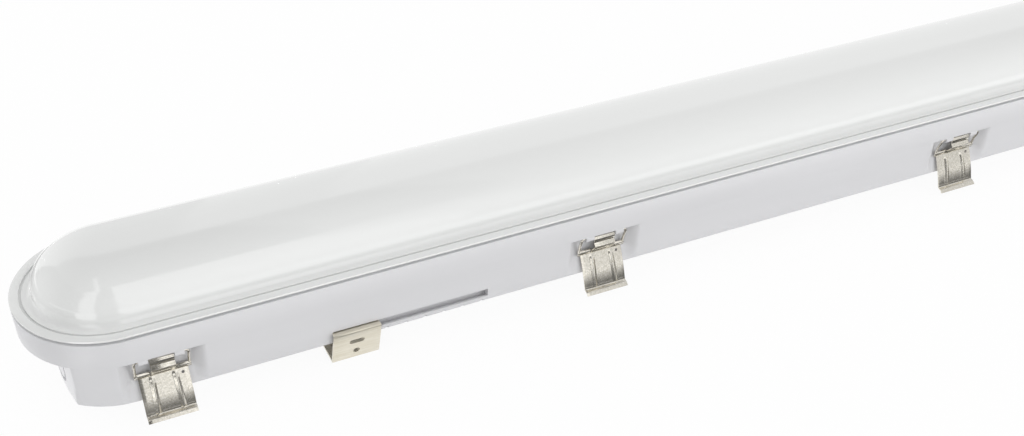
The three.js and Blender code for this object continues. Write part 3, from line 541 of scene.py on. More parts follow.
def wallLevels():
    # the outer skin below the band, as (out and z on the sides, out and z on the ends)
    s = housingSizes
    side, end = rimOut - s["bodyBottomInset"], rimOut - s["endBottomInset"]
    top = rimOut - s["bodyTopInset"]
    inner = [side - s["fillet"], end - s["endFillet"]]
    levels = [(inner[0] - s["floorMargin"], floorZ, inner[1] - s["floorMargin"], floorZ)]
    for i in range(s["filletSteps"] + 1):
        a = math.pi / 2 * i / s["filletSteps"]
        level = []
        for out, radius in zip((side, end), (s["fillet"], s["endFillet"])):
            level += [out - radius * (1 - math.sin(a)), floorZ + radius * (1 - math.cos(a))]
        levels.append(level)
    grooveTop = rimZ - s["grooveDown"]
    grooveFoot = grooveTop - s["grooveHeight"]
    knee = bandZ - s["pocketKnee"]
    heights = [floorZ + s["fillet"] + s["filletMargin"], grooveFoot - s["edge"]]
    heights += [grooveFoot + i * hair for i in range(4)]
    heights += [grooveTop - s["edge"], grooveTop, grooveTop + s["edge"]]
    heights += [knee - s["kneeSpread"], knee, knee + s["kneeSpread"], mix(knee, bandZ, 0.5)]
    turns = [math.sin(math.pi / 2 * k / 3) for k in range(3)]
    heights += [bandZ - s["pocketFillet"] * (1 - turn) for turn in turns]
    heights.append(bandZ - 2 * hair)
    for z in heights:
        share = (z - floorZ) / (bandZ - floorZ)
        levels.append((mix(side, top, share), z, mix(end, top, share), z))
    return levels


def endFaceOut(column):
    # distance from the spine's end to the bowed end face
    s = housingSizes
    reach = length / 2 - s["endFaceInset"] - s["endFaceRadius"]
    gap = spine - reach
    across = gap * abs(math.cos(column[1]))
    return math.sqrt(across ** 2 + s["endFaceRadius"] ** 2 - gap ** 2) - across


def wallPoint(column, level):
    s = housingSizes
    sideOut, sideZ, endOut, endZ = level
    base, angle = column
    share = smoothStep((spine - abs(base)) / (spine - waist))
    out, z = mix(endOut, sideOut, share), mix(endZ, sideZ, share)
    onEnd = abs(math.cos(angle)) > 1e-6
    if onEnd:
        inset = mix(s["endBottomInset"], s["bodyTopInset"], (z - floorZ) / (bandZ - floorZ))
        behind = rimOut - inset - out  # how far the fillet draws this level in
        out = softMin(out, endFaceOut(column) - behind, s["endCorner"])
        base = math.copysign(spine, base) + out * math.cos(angle)
    depth = pocketShare(base)
    if depth > 0:
        corner = max(0, z - bandZ + s["pocketFillet"]) / s["pocketFillet"]
        back = pocketBack(z) + s["pocketFillet"] * (1 - math.sqrt(max(0, 1 - corner ** 2)))
        out = mix(out, min(out, back), depth)
    if not onEnd:
        grooveTop = rimZ - s["grooveDown"]
        step = (z - grooveTop + s["grooveHeight"]) / hair
        if grooveEnd <= abs(base) <= grooveStart:
            # levels 1 and 2 make the lip, 2 and 3 drop behind it, from 3 on is the back
            if 0.5 < step < 2.5:
                out -= s["grooveLip"]
            elif 2.5 < step and z <= grooveTop:
                out = rimOut - s["grooveInset"]
            if 1.5 < step < 3.5:
                z -= s["grooveSink"]
        nearest = min(abs(abs(base) - place) for place in detentPlaces())
        if nearest <= s["detentWidth"] / 2 and z < floorZ + s["detentRise"]:
            out = min(out, rimOut - s["detentInset"])
    return out, z


def rimProfile():
    # from the band's foot over the rim, round the seal's channel and down the mouth, as (out, z)
    s = housingSizes
    foot, rim = rimOut - s["bandFootInset"], rimZ - s["rimDrop"]
    low, high, steps, edge = s["bandRound"], s["rimRound"], s["roundSteps"], s["rimEdge"]
    step, lip = rimOut - s["shadowStep"], rimZ + s["lipRise"]
    channelOuter = rimOut - s["channelInset"]
    channelInner = channelOuter - s["channelWidth"]
    mouth, inner = rimOut - s["mouthInset"], rimZ - s["innerDrop"]
    bottom = rimZ - s["channelDepth"]
    profile = arcPoints((foot - low, bandZ + low), low, -90, 0, steps)
    profile += arcPoints((rimOut - high, rim - high), high, 0, 90, steps)
    profile += [(step + edge, rim), (step, rim + edge), (step, lip - edge), (step - edge, lip)]
    profile += [(channelOuter + edge, lip), (channelOuter, lip - edge), (channelOuter, bottom)]
    profile += [(channelInner, bottom), (channelInner, inner), (mouth, inner)]
    return profile + [(mouth, inner - s["mouthDepth"])]


def makeHousing():
    s = housingSizes
    columns = stadiumColumns(s["endSteps"], housingStops())
    walls, rim = wallLevels(), rimProfile()
    vertices = []
    deepest = [rimOut] * len(columns)
    for level in walls:
        for i, column in enumerate(columns):
            out, z = wallPoint(column, level)
            if z > floorZ + s["fillet"]:
                deepest[i] = min(deepest[i], out)
            vertices.append(onColumn(column, out, z))
    vertices += swept(columns, rim)
    # the room inside, narrower below its roof and behind the latches
    room = rimOut - s["bandFootInset"] - s["wall"]
    roof, floor = bandZ + s["wall"], floorZ + s["wall"]
    inside = [rimZ - s["roomDrop"], roof, roof - s["roofEdge"], floorZ + s["roomRise"], floor]
    for z in inside:
        for i, column in enumerate(columns):
            narrow = z < roof or pocketShare(column[0]) > 0
            limit = deepest[i] - s["wall"] if narrow else room
            if z >= roof:
                limit = min(room, limit)
            if z == floor:
                limit -= s["roomEdge"]
            vertices.append(onColumn(column, limit, z))
    ringCount = len(walls) + len(rim) + len(inside)
    faces = cappedFaces(ringCount, len(columns), s["endSteps"])
    return newSolid("housing_moulding", (vertices, faces))


entrySizes = dict(
    diameter=20.5, side=17.5, down=32.6, ring=2.4, ringDepth=2, clear=2, boreIn=6,
    boreOut=3, steps=48,
)


def atEntry(end, side):
    # places something drawn on x = 0 onto an end face, square to it at the entry
    s = housingSizes
    angle = math.asin(side * entrySizes["side"] / s["endFaceRadius"])
    centre = length / 2 - s["endFaceInset"] - s["endFaceRadius"]
    place = Matrix.Translation((centre, 0, 0)) @ Matrix.Rotation(angle, 4, "Z")
    place = place @ Matrix.Translation((s["endFaceRadius"], 0, rimZ - entrySizes["down"]))
    return Matrix.Rotation(math.pi, 4, "Z") @ place if end < 0 else place


def housingCutter():
    s, e = housingSizes, entrySizes
    outer = e["diameter"] / 2
    inner, deep, clear = outer - e["ring"], -e["ringDepth"], e["clear"]
    parts = []
    for end, side in ((-1, -1), (-1, 1), (1, 1)):
        section = [(inner, deep), (inner, clear), (outer, clear), (outer, deep)]
        parts.append(ringSolid(section, e["steps"], atEntry(end, side)))
    ends = [atEntry(1, -1) @ Vector((x, 0, 0)) for x in (-e["boreIn"], e["boreOut"])]
    parts.append(tubeSolid(ends, outer, e["steps"]))
    passageOut = rimOut - s["passageInset"]
    passageIn, half = passageOut - s["passageDepth"], s["passageHalf"]
    foot, top = bandZ - s["passageFoot"], rimZ + s["passageTop"]
    for station in latchStations:
        for y0, y1 in ((passageIn, passageOut), (-passageOut, -passageIn)):
            outline = [(y0, foot), (y1, foot), (y1, top), (y0, top)]
            parts.append(prismSolid(outline, station - half, station + half))
    return newSolid("housing_cutter", *parts)


housing = smoothed(cutWith(makeHousing(), housingCutter()), housingSizes["smoothAngle"])
dress(housing, "housing", "fixture", "housing")
print("housing:", len(housing.data.polygons), "faces")


# Diffuser and seal

sealSizes = dict(width=1.6, domeSteps=8, endSteps=48)
diffuserSizes = dict(
    seatGap=0.5, flange=1.4, flangeRound=0.35, roundSteps=3, flangeWidth=5.2,
    stepWidth=1.5, stepDepth=1.3, stepEdge=0.15, shelfDrop=0.1, wall=2,
    archHalfWidth=41.05, archRise=23.11, archBase=2.5, widthPower=2.98, risePower=2.43,
    topAngle=88.5, archSteps=40, innerSteps=12, footRise=2.9, footSteps=8,
    footShelf=2.6, innerFoot=3.2, footLand=1.8, ribSink=0.3, endSteps=64, clawHalf=6,
    clawThickness=1.4, clawInset=4.25, clawBarb=0.9, clawBarbFace=0.8, clawBarbDrop=4,
)


def archPoints(inset, start, steps):
    # superellipse from a height above the rim up to its flat top, as (out, z)
    s = diffuserSizes
    rise = s["archRise"] - inset
    first = math.asin(((start - s["archBase"]) / rise) ** (s["risePower"] / 2))
    last = math.radians(s["topAngle"])
    points = []
    for i in range(steps + 1):
        angle = mix(first, last, i / steps)
        out = (s["archHalfWidth"] - inset) * math.cos(angle) ** (2 / s["widthPower"])
        points.append((out, rimZ + s["archBase"] + rise * math.sin(angle) ** (2 / s["risePower"])))
    return points


def diffuserProfile():
    # from the dome's inner top, round the rib in the seal and the flange, up to its outer top
    s = diffuserSizes
    under = rimZ + s["seatGap"]
    top, raised = under + s["flange"], s["seatGap"] + s["flange"]
    outer = archPoints(0, raised + s["footRise"], s["archSteps"])
    profile = archPoints(s["wall"], raised + s["innerFoot"], s["innerSteps"])[::-1]
    ribOuter, ribInner = gasketHigh.y - hair, gasketHigh.y - sealSizes["width"]
    ribFoot = gasketHigh.z + s["ribSink"]
    profile += [(ribInner - s["footLand"], under), (ribInner, under), (ribInner, ribFoot)]
    profile += [(ribOuter, ribFoot), (ribOuter, under)]
    bend, steps = s["flangeRound"], s["roundSteps"]
    profile += arcPoints((rimOut - bend, under + bend), bend, -90, 0, steps)
    profile += arcPoints((rimOut - bend, top - bend), bend, 0, 90, steps)
    step, edge = rimOut - s["flangeWidth"], s["stepEdge"]
    foot = step - s["stepWidth"]
    profile += [(step + edge, top), (step, top - edge), (step, top - s["stepDepth"])]
    top -= s["shelfDrop"]
    profile += [(foot, top - s["stepDepth"]), (foot, top - edge), (foot - edge, top)]
    shelf = foot - s["footShelf"]
    width = shelf - outer[0][0]
    for i in range(s["footSteps"]):
        a = math.pi / 2 * i / s["footSteps"]
        profile.append((shelf - width * math.sin(a), top + s["footRise"] * (1 - math.cos(a))))
    return profile + outer


def clawSolid(station, side):
    s = diffuserSizes
    out = rimOut - s["clawInset"]
    inner, tip = out - s["clawThickness"], out + s["clawBarb"]
    root = rimZ + s["seatGap"] + s["flange"] / 2
    barbZ = bandZ - s["clawBarbDrop"]
    face = barbZ - s["clawBarbFace"]
    foot = face - s["clawBarb"]
    outline = [(out, root), (inner, root), (inner, foot), (out, foot)]
    outline += [(tip, face), (tip, barbZ), (out, barbZ)]
    half = s["clawHalf"]
    return prismSolid([(side * o, z) for o, z in outline], station - half, station + half)


def makeDiffuser():
    s = diffuserSizes
    columns = stadiumColumns(s["endSteps"], [])
    profile = diffuserProfile()
    faces = cappedFaces(len(profile), len(columns), s["endSteps"])
    claws = [clawSolid(station, side) for station in latchStations for side in (-1, 1)]
    return newSolid("diffuser_moulding", (swept(columns, profile), faces), *claws)


diffuser = smoothed(makeDiffuser())
dress(diffuser, "diffuser", "fixture", "diffuser")


def makeSeal():
    # a poured bead with a domed top
    s = sealSizes
    outer, low, half = gasketHigh.y, gasketLow.z, s["width"] / 2
    profile = [(outer - s["width"], low), (outer, low)]
    profile += arcPoints((outer - half, gasketHigh.z - half), half, 0, 180, s["domeSteps"])
    columns = stadiumColumns(s["endSteps"], [])
    faces = skinFaces(len(profile), len(columns), closed=True)
    return newSolid("seal_bead", (swept(columns, profile), faces))


seal = smoothed(makeSeal())
dress(seal, "seal_gasket", "fixture", "seal_gasket")
print("diffuser and seal:", len(diffuser.data.polygons), "and", len(seal.data.polygons), "faces")


# What repeats along the fixture

def makeRowTree():
    # copies of an item in a row along x, on the near side, the far side or both
    tree = bpy.data.node_groups.new("rowOfItems", "GeometryNodeTree")
    tree.interface.new_socket(
        name="Geometry", in_out="OUTPUT", socket_type="NodeSocketGeometry")
    sockets = {}
    for name, kind, default in (
        ("item", "Object", None), ("material", "Material", None), ("count", "Int", 1),
        ("first", "Float", 0.0), ("spacing", "Float", 0.0),
        ("nearSide", "Bool", True), ("farSide", "Bool", False),
    ):
        socket = tree.interface.new_socket(
            name=name, in_out="INPUT", socket_type="NodeSocket" + kind)
        if default is not None:
            socket.default_value = default
        sockets[name] = socket.identifier
    given = addNode(tree, "NodeGroupInput").outputs
    item = addNode(tree, "GeometryNodeObjectInfo", {"Object": given["item"]})
    start = addNode(tree, "ShaderNodeCombineXYZ", {"X": given["first"]})
    step = addNode(tree, "ShaderNodeCombineXYZ", {"X": given["spacing"]})
    line = addNode(tree, "GeometryNodeMeshLine", {
        "Count": given["count"], "Start Location": start.outputs[0], "Offset": step.outputs[0],
    })
    near = addNode(tree, "GeometryNodeInstanceOnPoints", {
        "Points": line.outputs["Mesh"], "Instance": item.outputs["Geometry"],
    }).outputs["Instances"]
    far = addNode(tree, "GeometryNodeTransform", {
        "Geometry": near, "Rotation": (0, 0, math.pi),
    }).outputs["Geometry"]
    both = addNode(tree, "GeometryNodeJoinGeometry")
    for name, row in (("nearSide", near), ("farSide", far)):
        switch = addNode(tree, "GeometryNodeSwitch", {
            "Switch": given[name], "True": row,
        }, input_type="GEOMETRY")
        tree.links.new(switch.outputs["Output"], both.inputs["Geometry"])
    real = addNode(tree, "GeometryNodeRealizeInstances", {"Geometry": both.outputs["Geometry"]})
    painted = addNode(tree, "GeometryNodeSetMaterial", {
        "Geometry": real.outputs["Geometry"], "Material": given["material"],
    })
    addNode(tree, "NodeGroupOutput", {"Geometry": painted.outputs["Geometry"]})
    return tree, sockets


rowTree, rowSockets = makeRowTree()


def rowOf(name, **values):
    # one plain mesh of the whole row, values named as the tree's inputs, lengths in millimetres
    carrier = newMesh(name + "_carrier", [(0, 0, 0)], [])
    modifier = carrier.modifiers.new("row", "NODES")
    modifier.node_group = rowTree
    for key, value in values.items():
        modifier[rowSockets[key]] = value * mm if isinstance(value, float) else value
    carrier.update_tag()
    return asPlainMesh(carrier, name)


# Ears that carry the latches' pins

earSizes = dict(
    pinInset=3.05, pinDrop=1.9, radius=2.2, steps=16, inner=7.3, width=5.5, root=1,
    round=0.3, roundAngle=50, smoothAngle=40,
)
pinOut = rimOut - earSizes["pinInset"]
pinZ = bandZ - earSizes["pinDrop"]


def makeEarPair():
    s = earSizes
    radius, rootZ = s["radius"], bandZ + s["root"]
    outline = [(pinOut - radius, rootZ)] + arcPoints((pinOut, pinZ), radius, 180, 360, s["steps"])
    outline = [(-out, z) for out, z in outline + [(pinOut + radius, rootZ)]]
    parts = []
    for side in (-1, 1):
        edges = sorted([side * s["inner"], side * (s["inner"] + s["width"])])
        parts.append(prismSolid(outline, *edges))
    pair = bevelled(newSolid("ear_blocks", *parts), s["round"], "ear_pair", s["roundAngle"])
    return smoothed(pair, s["smoothAngle"])


earPair = makeEarPair()
ears = rowOf("latch_ears", item=earPair, material=materials["housing"], count=latchCount,
             first=float(latchStations[0]), spacing=float(latchSpacing), farSide=True)
bpy.data.objects.remove(earPair)
dress(ears, "housing", "fixture")
print("ears:", len(ears.data.polygons), "faces")


# Latches

latchSizes = dict(
    halfWidth=14, shoulderHalf=16, tongueHalf=6.9, slit=0.35, sheet=0.8, tuckIn=3.9,
    tuckDrop=14.9, plateOut=8, plateDrop=20, lipReach=4.4, lipDrop=3.4, ribPlace=6.4,
    ribSplay=0.7, ribHalf=1.75, ribTop=0.3, ribSoft=0.24, ribHeight=1.16, ribStart=0.2,
    ribLead=4.5, ribRamp=2.4, plateBulge=0.6, plateStep=0.8,
    plateColumns=[1.8, 3.4, 9.8, 11.6], lipStep=0.4, lipBend=0.7, shoulderBend=0.9,
    hookBend=0.8, eyeSide=10.6, eyeDrop=2.4, eyeWidth=1.8, armRadius=0.85, armSides=12,
    armRoot=(0.1, 0.9), armKnee=0.4, armBend=1.8, armSteps=10, pinReach=4.2, edge=0.14,
    smoothAngle=46,
)
# Bends as (out, down) shares of tuckDrop from the pins, and those of the lip as shares of its
# reach and drop from the plate's foot
hookShares = [(-0.06, 0.13), (-0.034, 0.04), (0.02, 0), (0.06, 0.03), (0.06, 0.07),
              (0.082, 0.088), (0.075, 0.16), (0.035, 0.31), (0.13, 0.405), (0.144, 0.44),
              (0.067, 0.575), (-0.054, 0.72), (-0.174, 0.799)]
shoulderShares = [(-0.235, 0.755), (-0.19, 0.83)]
lipShares = [(0.05, 0.3), (0.2, 0.42), (0.55, 0.5), (0.75, 0.6), (1, 1)]


def fromPin(share):
    drop = latchSizes["tuckDrop"]
    return (pinOut + share[0] * drop, pinZ - share[1] * drop)


def along(line, spacing):
    # the line with points added so that none are further apart than this
    result = [line[0]]
    for (a, b), (c, d) in zip(line, line[1:]):
        steps = max(1, math.ceil(math.hypot(c - a, d - b) / spacing))
        result += [(mix(a, c, i / steps), mix(b, d, i / steps)) for i in range(1, steps + 1)]
    return result


def ribRise(x, run, plateRun):
    # height of the two pressed ribs at a place on the plate, with straight flanks
    s = latchSizes
    end = plateRun + s["ribRamp"]
    if not s["ribStart"] < run < end:
        return 0
    flank = s["ribHalf"] - s["ribTop"]
    across = min(1, max(0, (s["ribHalf"] - abs(abs(x) - s["ribPlace"])) / flank))
    ends = min((run - s["ribStart"]) / s["ribLead"], (end - run) / s["ribRamp"])
    return s["ribHeight"] * across * smoothStep(ends)


def splayed(x, share):
    # the ribs lie further apart towards the plate's foot
    s = latchSizes
    onRib = abs(abs(x) - s["ribPlace"]) <= s["ribHalf"] + s["ribSoft"] + hair
    return x + math.copysign(s["ribSplay"] * share, x) if onRib else x


def sheetSolid(line, xs, plateRun=None):
    # sheet metal about a line of (out, z), pushed out where the plate has its ribs
    vertices, run = [], 0
    for side in (0.5, -0.5):
        for k, point in enumerate(line):
            run = run + math.dist(point, line[k - 1]) if k else 0
            ahead = Vector(line[min(k + 1, len(line) - 1)]) - Vector(line[max(k - 1, 0)])
            outward = Vector((-ahead.y, ahead.x)).normalized()
            for x in xs:
                rise, place = side * latchSizes["sheet"], x
                if plateRun:
                    rise += ribRise(x, run, plateRun)
                    place = splayed(x, run / plateRun)
                out, z = point[0] + outward.x * rise, point[1] + outward.y * rise
                vertices.append((place, -out, z))
    rows, count = len(line), len(xs)
    back, last = rows * count, (rows - 1) * count
    faces = []
    for k in range(rows - 1):
        for i in range(k * count, k * count + count - 1):
            face = (i, i + 1, i + count + 1, i + count)
            faces += [face, tuple(back + corner for corner in reversed(face))]
    border = [(start + i, start + i + 1) for start in (0, last) for i in range(count - 1)]
    border += [(i, i + count) for side in (0, count - 1) for i in range(side, last, count)]
    return vertices, faces + [(a, b, back + b, back + a) for a, b in border]


def plateColumns():
    # close together at the bends of the ribs
    s = latchSizes
    half, top, soft = s["ribHalf"], s["ribTop"], s["ribSoft"]
    offsets = [0, top, top + soft, (half + top) / 2, half - soft, half, half + soft]
    xs = {0, s["halfWidth"], *s["plateColumns"]}
    xs.update(s["ribPlace"] + side * offset for offset in offsets for side in (-1, 1))
    return sorted(xs | {-x for x in xs})


def armSolid(side):
    # a round arm from the shoulder up, turned in to its ear as the pin
    s = latchSizes
    middle, bend = s["shoulderHalf"] - s["armRadius"], s["armBend"]
    out, z = fromPin(shoulderShares[0])
    path = [(middle, out - s["armRoot"][0], z - s["armRoot"][1])]
    path.append((middle, mix(out, pinOut, s["armKnee"]), mix(z, pinZ, s["armKnee"])))
    for k in range(s["armSteps"] + 1):
        a = math.pi / 2 * k / s["armSteps"]
        path.append((middle - bend * (1 - math.cos(a)), pinOut, pinZ - bend * (1 - math.sin(a))))
    path.append((middle - bend - s["pinReach"], pinOut, pinZ))
    return tubeSolid([(side * x, -o, h) for x, o, h in path], s["armRadius"], s["armSides"])


def platePoints(tuck, foot, lip):
    # the sheet's middle from the tuck to the lip's end, bulged a little over the plate
    s = latchSizes
    line = softened([tuck, foot] + lip, s["lipBend"])
    outward = Vector((tuck[1] - foot[1], foot[0] - tuck[0])).normalized()
    plate = along(line[:2], s["plateStep"])
    for k, (out, z) in enumerate(plate):
        share = k / (len(plate) - 1)
        bulge = 4 * s["plateBulge"] * share * (1 - share)
        plate[k] = (out + outward.x * bulge, z + outward.y * bulge)
    return plate + along(line[1:], s["lipStep"])[1:]


def makeLatch():
    s = latchSizes
    tuck = (pinOut - s["tuckIn"], pinZ - s["tuckDrop"])
    foot = (tuck[0] + s["plateOut"], tuck[1] - s["plateDrop"])
    lip = [(foot[0] + a * s["lipReach"], foot[1] - d * s["lipDrop"]) for a, d in lipShares]
    sheets = [sheetSolid(platePoints(tuck, foot, lip), plateColumns(), math.dist(tuck, foot))]
    shoulder = softened([fromPin(share) for share in shoulderShares] + [tuck], s["shoulderBend"])
    inner, tongue = s["tongueHalf"] + s["slit"], s["tongueHalf"]
    for side in (-1, 1):
        xs = sorted(side * x for x in (inner, s["halfWidth"], s["shoulderHalf"]))
        sheets.append(sheetSolid(shoulder, xs))
    hook = softened([fromPin(share) for share in hookShares] + [tuck], s["hookBend"])
    sheets.append(sheetSolid(hook, [-tongue, 0, tongue]))
    solids = [bevelled(newSolid("sheet", sheet), s["edge"], "latch_sheet") for sheet in sheets]
    down = (Vector(foot) - Vector(tuck)).normalized()
    eye = Vector(tuck) + down * s["eyeDrop"]
    place = squareTo((s["eyeSide"], -eye.x, eye.y), Vector((0, -down.x, down.y)))
    hole = slotSolid(s["eyeWidth"] + hair, s["eyeWidth"], s["sheet"] * 2, place)
    solids[0] = cutWith(solids[0], newSolid("eye_cutter", hole))
    return joined("latch_master", solids + [newSolid("latch_arms", armSolid(-1), armSolid(1))])


latchMaster = smoothed(makeLatch(), latchSizes["smoothAngle"])
for side, far in (("near", False), ("far", True)):
    for i in range(latchCount):
        name = f"latch_{side}_{i + 1}"
        station = middleX(name)
        first = float(-station if far else station)
        placed = rowOf(f"{name}_stamping", item=latchMaster, material=materials["latch"],
                       first=first, nearSide=not far, farSide=far)
        dress(placed, "latch", name + "_body", name)
bpy.data.objects.remove(latchMaster)
print("latches placed, faces each:", len(placed.data.polygons))


# Brackets

bracketSizes = dict(
    halfWidth=14.5, ledgeHalf=13.3, sheet=1.5, foldOut=0.25, footInset=7.95, bend=0.4,
    bendSteps=6, clearance=0.3, slotLength=9.5, slotWidth=3.8, slotDrop=9.3,
    holeDiameter=4.3, holeDrop=19.2, screwSlotLength=14, screwSlotWidth=5.5,
    screwSlotSide=16, cutDepth=2.25, edge=0.18, smoothAngle=40,
)


def makeBracket(name, station):
    s = bracketSizes
    ledgeZ = rimZ - housingSizes["grooveDown"] - s["clearance"] - s["sheet"] / 2
    ledgeIn = rimOut - housingSizes["grooveInset"] + s["clearance"]
    fold = (rimOut + s["foldOut"], ledgeZ)
    foot = (rimOut - s["footInset"], s["sheet"] / 2)
    bends = [(ledgeIn, ledgeZ), fold, foot, (0, s["sheet"] / 2)]
    near = softened(bends, s["bend"], s["bendSteps"])
    line = [(-out, z) for out, z in near] + near[-2::-1]
    vertices = []
    for y, z in line:
        onLedge = abs(y) < fold[0] - s["bend"] - hair and z > ledgeZ - hair
        half = s["ledgeHalf"] if onLedge else s["halfWidth"]
        vertices += [(station + x, y, z) for x in (-half, 0, half)]
    starts = [3 * k + i for k in range(len(line) - 1) for i in (0, 1)]
    strip = newMesh(name + "_skin", vertices, [(i, i + 1, i + 4, i + 3) for i in starts])
    sheet = strip.modifiers.new("sheet", "SOLIDIFY")
    sheet.thickness = s["sheet"] * mm
    sheet.offset = 0
    sheet.use_even_offset = True
    solid = bevelled(strip, s["edge"], name)
    parts = []
    for side in (-1, 1):
        top = Vector((station, side * fold[0], fold[1]))
        down = Vector((0, side * (foot[0] - fold[0]), foot[1] - fold[1])).normalized()
        hole, depth = s["holeDiameter"], s["cutDepth"]
        slot = squareTo(top + down * s["slotDrop"], down)
        parts.append(slotSolid(s["slotLength"], s["slotWidth"], depth, slot))
        parts.append(slotSolid(hole, hole, depth, squareTo(top + down * s["holeDrop"], down)))
        base = Matrix.Translation((station, side * s["screwSlotSide"], s["sheet"] / 2))
        parts.append(slotSolid(s["screwSlotLength"], s["screwSlotWidth"], depth, base))
    return cutWith(solid, newSolid("bracket_holes", *parts))


for side in ("left", "right"):
    node = f"mounting_bracket_{side}"
    bracket = makeBracket(f"{node}_strip", middleX(node))
    smoothed(bracket, bracketSizes["smoothAngle"])
    dress(bracket, "bracket", node + "_body", node)
print("brackets:", len(bracket.data.polygons), "faces each")


# Pieces that keep the frame's own shape

finishes = {
    "gear_tray": "tray", "tray_retainer": "retainer", "led_board": "board",
    "led_packages": "led", "board_screw": "screw", "driver_screw": "screw", "driver": "driver",
    "terminal_block": "terminal", "terminal_screw": "screw", "supply_wire": "wire",
    "earth_wire": "wire", "led_wires": "wire", "earth_screw": "screw",
    "gland_bush": "gland_seal", "gland_washer": "gland_seal", "gland": "gland",
}
otherMaterials = {"driver_lid": "retainer"}  # pieces whose material isn't their slot's
for name, node in nodes.items():
    if node.hide_render:
        continue
    slotName = next(slot for start, slot in finishes.items() if name.startswith(start))
    paint(node, otherMaterials.get(name, slotName))
print("frame pieces given their finishes")


# Studio, its places in metres

scene.view_settings.view_transform = "Standard"
cameraSizes = dict(
    place=(-0.75075, -0.65833, 0.54498), tiltDown=35.136, turn=-24.725, lens=49.27,
    sensor=36, nearest=0.01,
)
camera = newObject("photoCamera", bpy.data.cameras.new("photoCamera"))
camera.location = cameraSizes["place"]
tilt, turn = 90 - cameraSizes["tiltDown"], cameraSizes["turn"]
camera.rotation_euler = (math.radians(tilt), 0, math.radians(turn))
camera.data.lens = cameraSizes["lens"]
camera.data.sensor_width = cameraSizes["sensor"]
camera.data.clip_start = cameraSizes["nearest"]
scene.camera = camera

studio = dict(
    ambient=0.83, white=(1, 1, 1, 1), paper="#fafafa", floorHalf=9, floorGlow=0.94,
    floorLift=0.001, front=-1.5, back=2, backTop=1.7, top=(-0.3, 1.6), ceiling=1.65,
    ceilingFront=-0.28, flag=-0.115,
)
lamps = [
    ("keyBox", (0.8, -3.8, 2.5), (0, 0, 0), (2.4, 2.4), 28),
    ("sideBox", (0.5, -1.3, 0.35), (-0.2, 0, 0.03), (0.6, 0.6), 3.2),
    ("leftFill", (-2.1, 1.5, 0.12), (-0.75, 0, 0.02), (0.8, 0.2), 26),
]


def leaning(x0, x1, top0, top1):
    # a sheet from the floor in front up and over
    front, (y, z) = studio["front"], studio["top"]
    return [(x0, front, 0), (x1, front, 0), (top1, y, z), (top0, y, z)]


def upright(y, x0, x1, z0, z1):
    return [(x0, y, z0), (x1, y, z0), (x1, y, z1), (x0, y, z1)]


def flat(z, x0, x1, y0, y1):
    return [(x0, y0, z), (x1, y0, z), (x1, y1, z), (x0, y1, z)]


def overhead(x0, x1):
    return flat(studio["ceiling"], x0, x1, studio["ceilingFront"], studio["back"])


def behind(x0, x1):
    return upright(studio["back"], x0, x1, 0, studio["backTop"])


def onFloor(*points):
    return [(x, y, studio["floorLift"]) for x, y in points]


cardShapes = [
    ("longBox", 1.1, leaning(-0.665, -0.05, -0.665, -0.32)),
    ("longBoxEdge", 0.85, leaning(-0.05, 0.2, -0.32, -0.1)),
    ("rightWall", 0.72, leaning(0.2, 3, -0.1, 3)),
    ("leftBox", 1.15,
     [(-1.92, -0.93, 0), (-1.55, -1.35, 0), (-0.9, -0.24, 1.4), (-1, -0.22, 1.4)]),
    ("leftBoxTop", 1.15,
     [(-1.03, -0.22, 1.4), (-0.92, -0.24, 1.4), (-0.8, 0.5, 1.4), (-0.85, 0.5, 1.4)]),
    ("gapDark", 0.15,
     [(-1.6, -1.6, 0), (-0.6, -1.6, 0), (-0.6, -0.32, 1.65), (-0.9, -0.22, 1.65)]),
    ("leftDark", 0.15, [(-2, 2, 0), (-2, -1, 0), (-1.6, -0.5, 1.7), (-1.6, 2, 1.7)]),
    ("ceilingDark", 0.3, overhead(-2, -0.25)),
    ("ceilingGrey", 0.55, overhead(-0.25, 0.1)),
    ("ceilingPale", 0.75, overhead(0.1, 3)),
    ("backDark", 0.7, behind(-2, -0.35)),
    ("backGrey", 0.88, behind(-0.35, 0)),
    ("backPale", 1, behind(0, 3)),
    ("nearFlag", 0.12, flat(0.0005, -1, 1, studio["flag"], -0.064)),
    ("flagFoot", 0.12, upright(studio["flag"], -0.72, 1, 0, 0.005)),
    ("flagTop", 0.5, upright(studio["flag"], -0.72, 1, 0.005, 0.014)),
    ("lowLeft", 1, [(-1.98, -0.9, 0), (-1.98, 0.2, 0), (-1.98, 0.2, 0.35), (-1.98, -0.9, 0.35)]),
    ("longFloor", 1.45, flat(studio["floorLift"], -0.685, 1.5, studio["front"], -0.2)),
    ("stripFloor", 1.5, onFloor((-0.78, -0.066), (-0.745, -0.08), (-1.48, -1.5), (-2, -0.81))),
    ("gapFloor", 0.2, onFloor((-0.74, -0.08), (-0.685, -0.08), (-0.66, -1.5), (-1.48, -1.5))),
    ("leftFloor", 0.25, onFloor((-0.78, 0.6), (-2, 0.6), (-2, -0.8), (-0.78, -0.073))),
]


def whiteToEye(tree):
    # 1 for rays of the camera, gloss and glass, so that each meets pure white
    path = addNode(tree, "ShaderNodeLightPath").outputs
    first = addNode(tree, "ShaderNodeMath", {
        0: path["Is Camera Ray"], 1: path["Is Glossy Ray"],
    }, operation="MAXIMUM")
    return addNode(tree, "ShaderNodeMath", {
        0: first.outputs[0], 1: path["Is Transmission Ray"],
    }, operation="MAXIMUM").outputs[0]


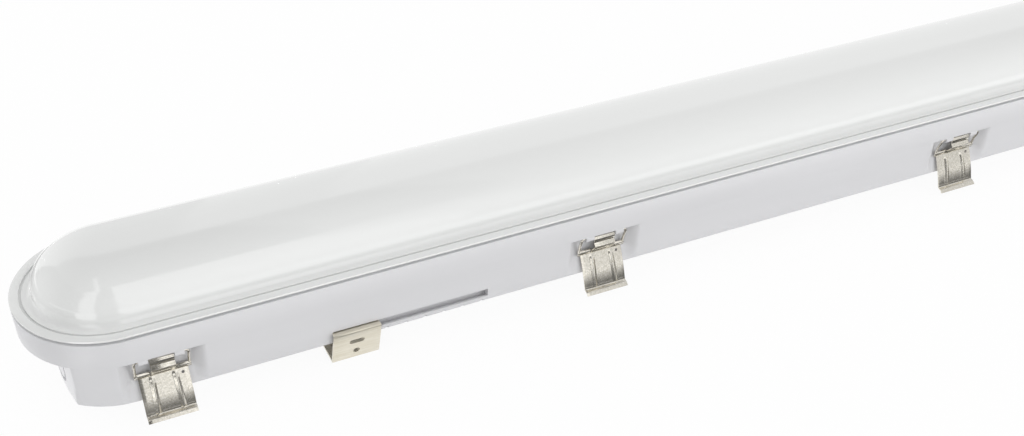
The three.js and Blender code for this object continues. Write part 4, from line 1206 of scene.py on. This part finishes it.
def makeWorld():
    world = bpy.data.worlds.new("studio")
    scene.world = world
    world.use_nodes = True
    tree = world.node_tree
    background = tree.nodes["Background"]
    background.inputs["Color"].default_value = studio["white"]
    level = addNode(tree, "ShaderNodeMapRange", {
        "Value": whiteToEye(tree), "To Min": studio["ambient"], "To Max": 1,
    })
    tree.links.new(level.outputs["Result"], background.inputs["Strength"])


def stageSheet(name, materialName, corners):
    # a sheet of the studio, its material still empty
    sheet = newMesh(name, [[c / mm for c in corner] for corner in corners], [(0, 1, 2, 3)])
    material = bpy.data.materials.new(materialName)
    material.use_nodes = True
    tree = material.node_tree
    tree.nodes.remove(tree.nodes["Principled BSDF"])
    sheet.data.materials.append(material)
    return sheet, tree, tree.nodes["Material Output"].inputs["Surface"]


def makeFloor():
    half = studio["floorHalf"]
    floor, tree, surface = stageSheet("floor", "paperMattWhite", flat(0, -half, half, -half, half))
    paper = addNode(tree, "ShaderNodeBsdfDiffuse", {"Color": linear(studio["paper"])})
    glow = addNode(tree, "ShaderNodeEmission", {"Color": studio["white"], "Strength": 1})
    share = addNode(tree, "ShaderNodeMath", {
        0: whiteToEye(tree), 1: studio["floorGlow"],
    }, operation="MULTIPLY")
    both = addNode(tree, "ShaderNodeMixShader", {
        "Fac": share.outputs[0], 1: paper.outputs["BSDF"], 2: glow.outputs["Emission"],
    })
    tree.links.new(both.outputs["Shader"], surface)


def softbox(name, place, target, size, power):
    lamp = newObject(name, bpy.data.lights.new(name, "AREA"))
    lamp.location = place
    lamp.rotation_euler = (Vector(target) - Vector(place)).to_track_quat("-Z", "Y").to_euler()
    lamp.data.shape = "RECTANGLE"
    lamp.data.size, lamp.data.size_y = size
    lamp.data.energy = power
    lamp.visible_glossy = False


def reflectorCard(name, level, corners):
    # a sheet that only gloss and metal mirror
    card, tree, surface = stageSheet(name, name + "Cloth", corners)
    glow = addNode(tree, "ShaderNodeEmission", {"Color": studio["white"], "Strength": level})
    tree.links.new(glow.outputs["Emission"], surface)
    for rays in ("camera", "diffuse", "shadow", "transmission"):
        setattr(card, "visible_" + rays, False)


makeWorld()
makeFloor()
for lamp in lamps:
    softbox(*lamp)
for card in cardShapes:
    reflectorCard(*card)
print("studio set")
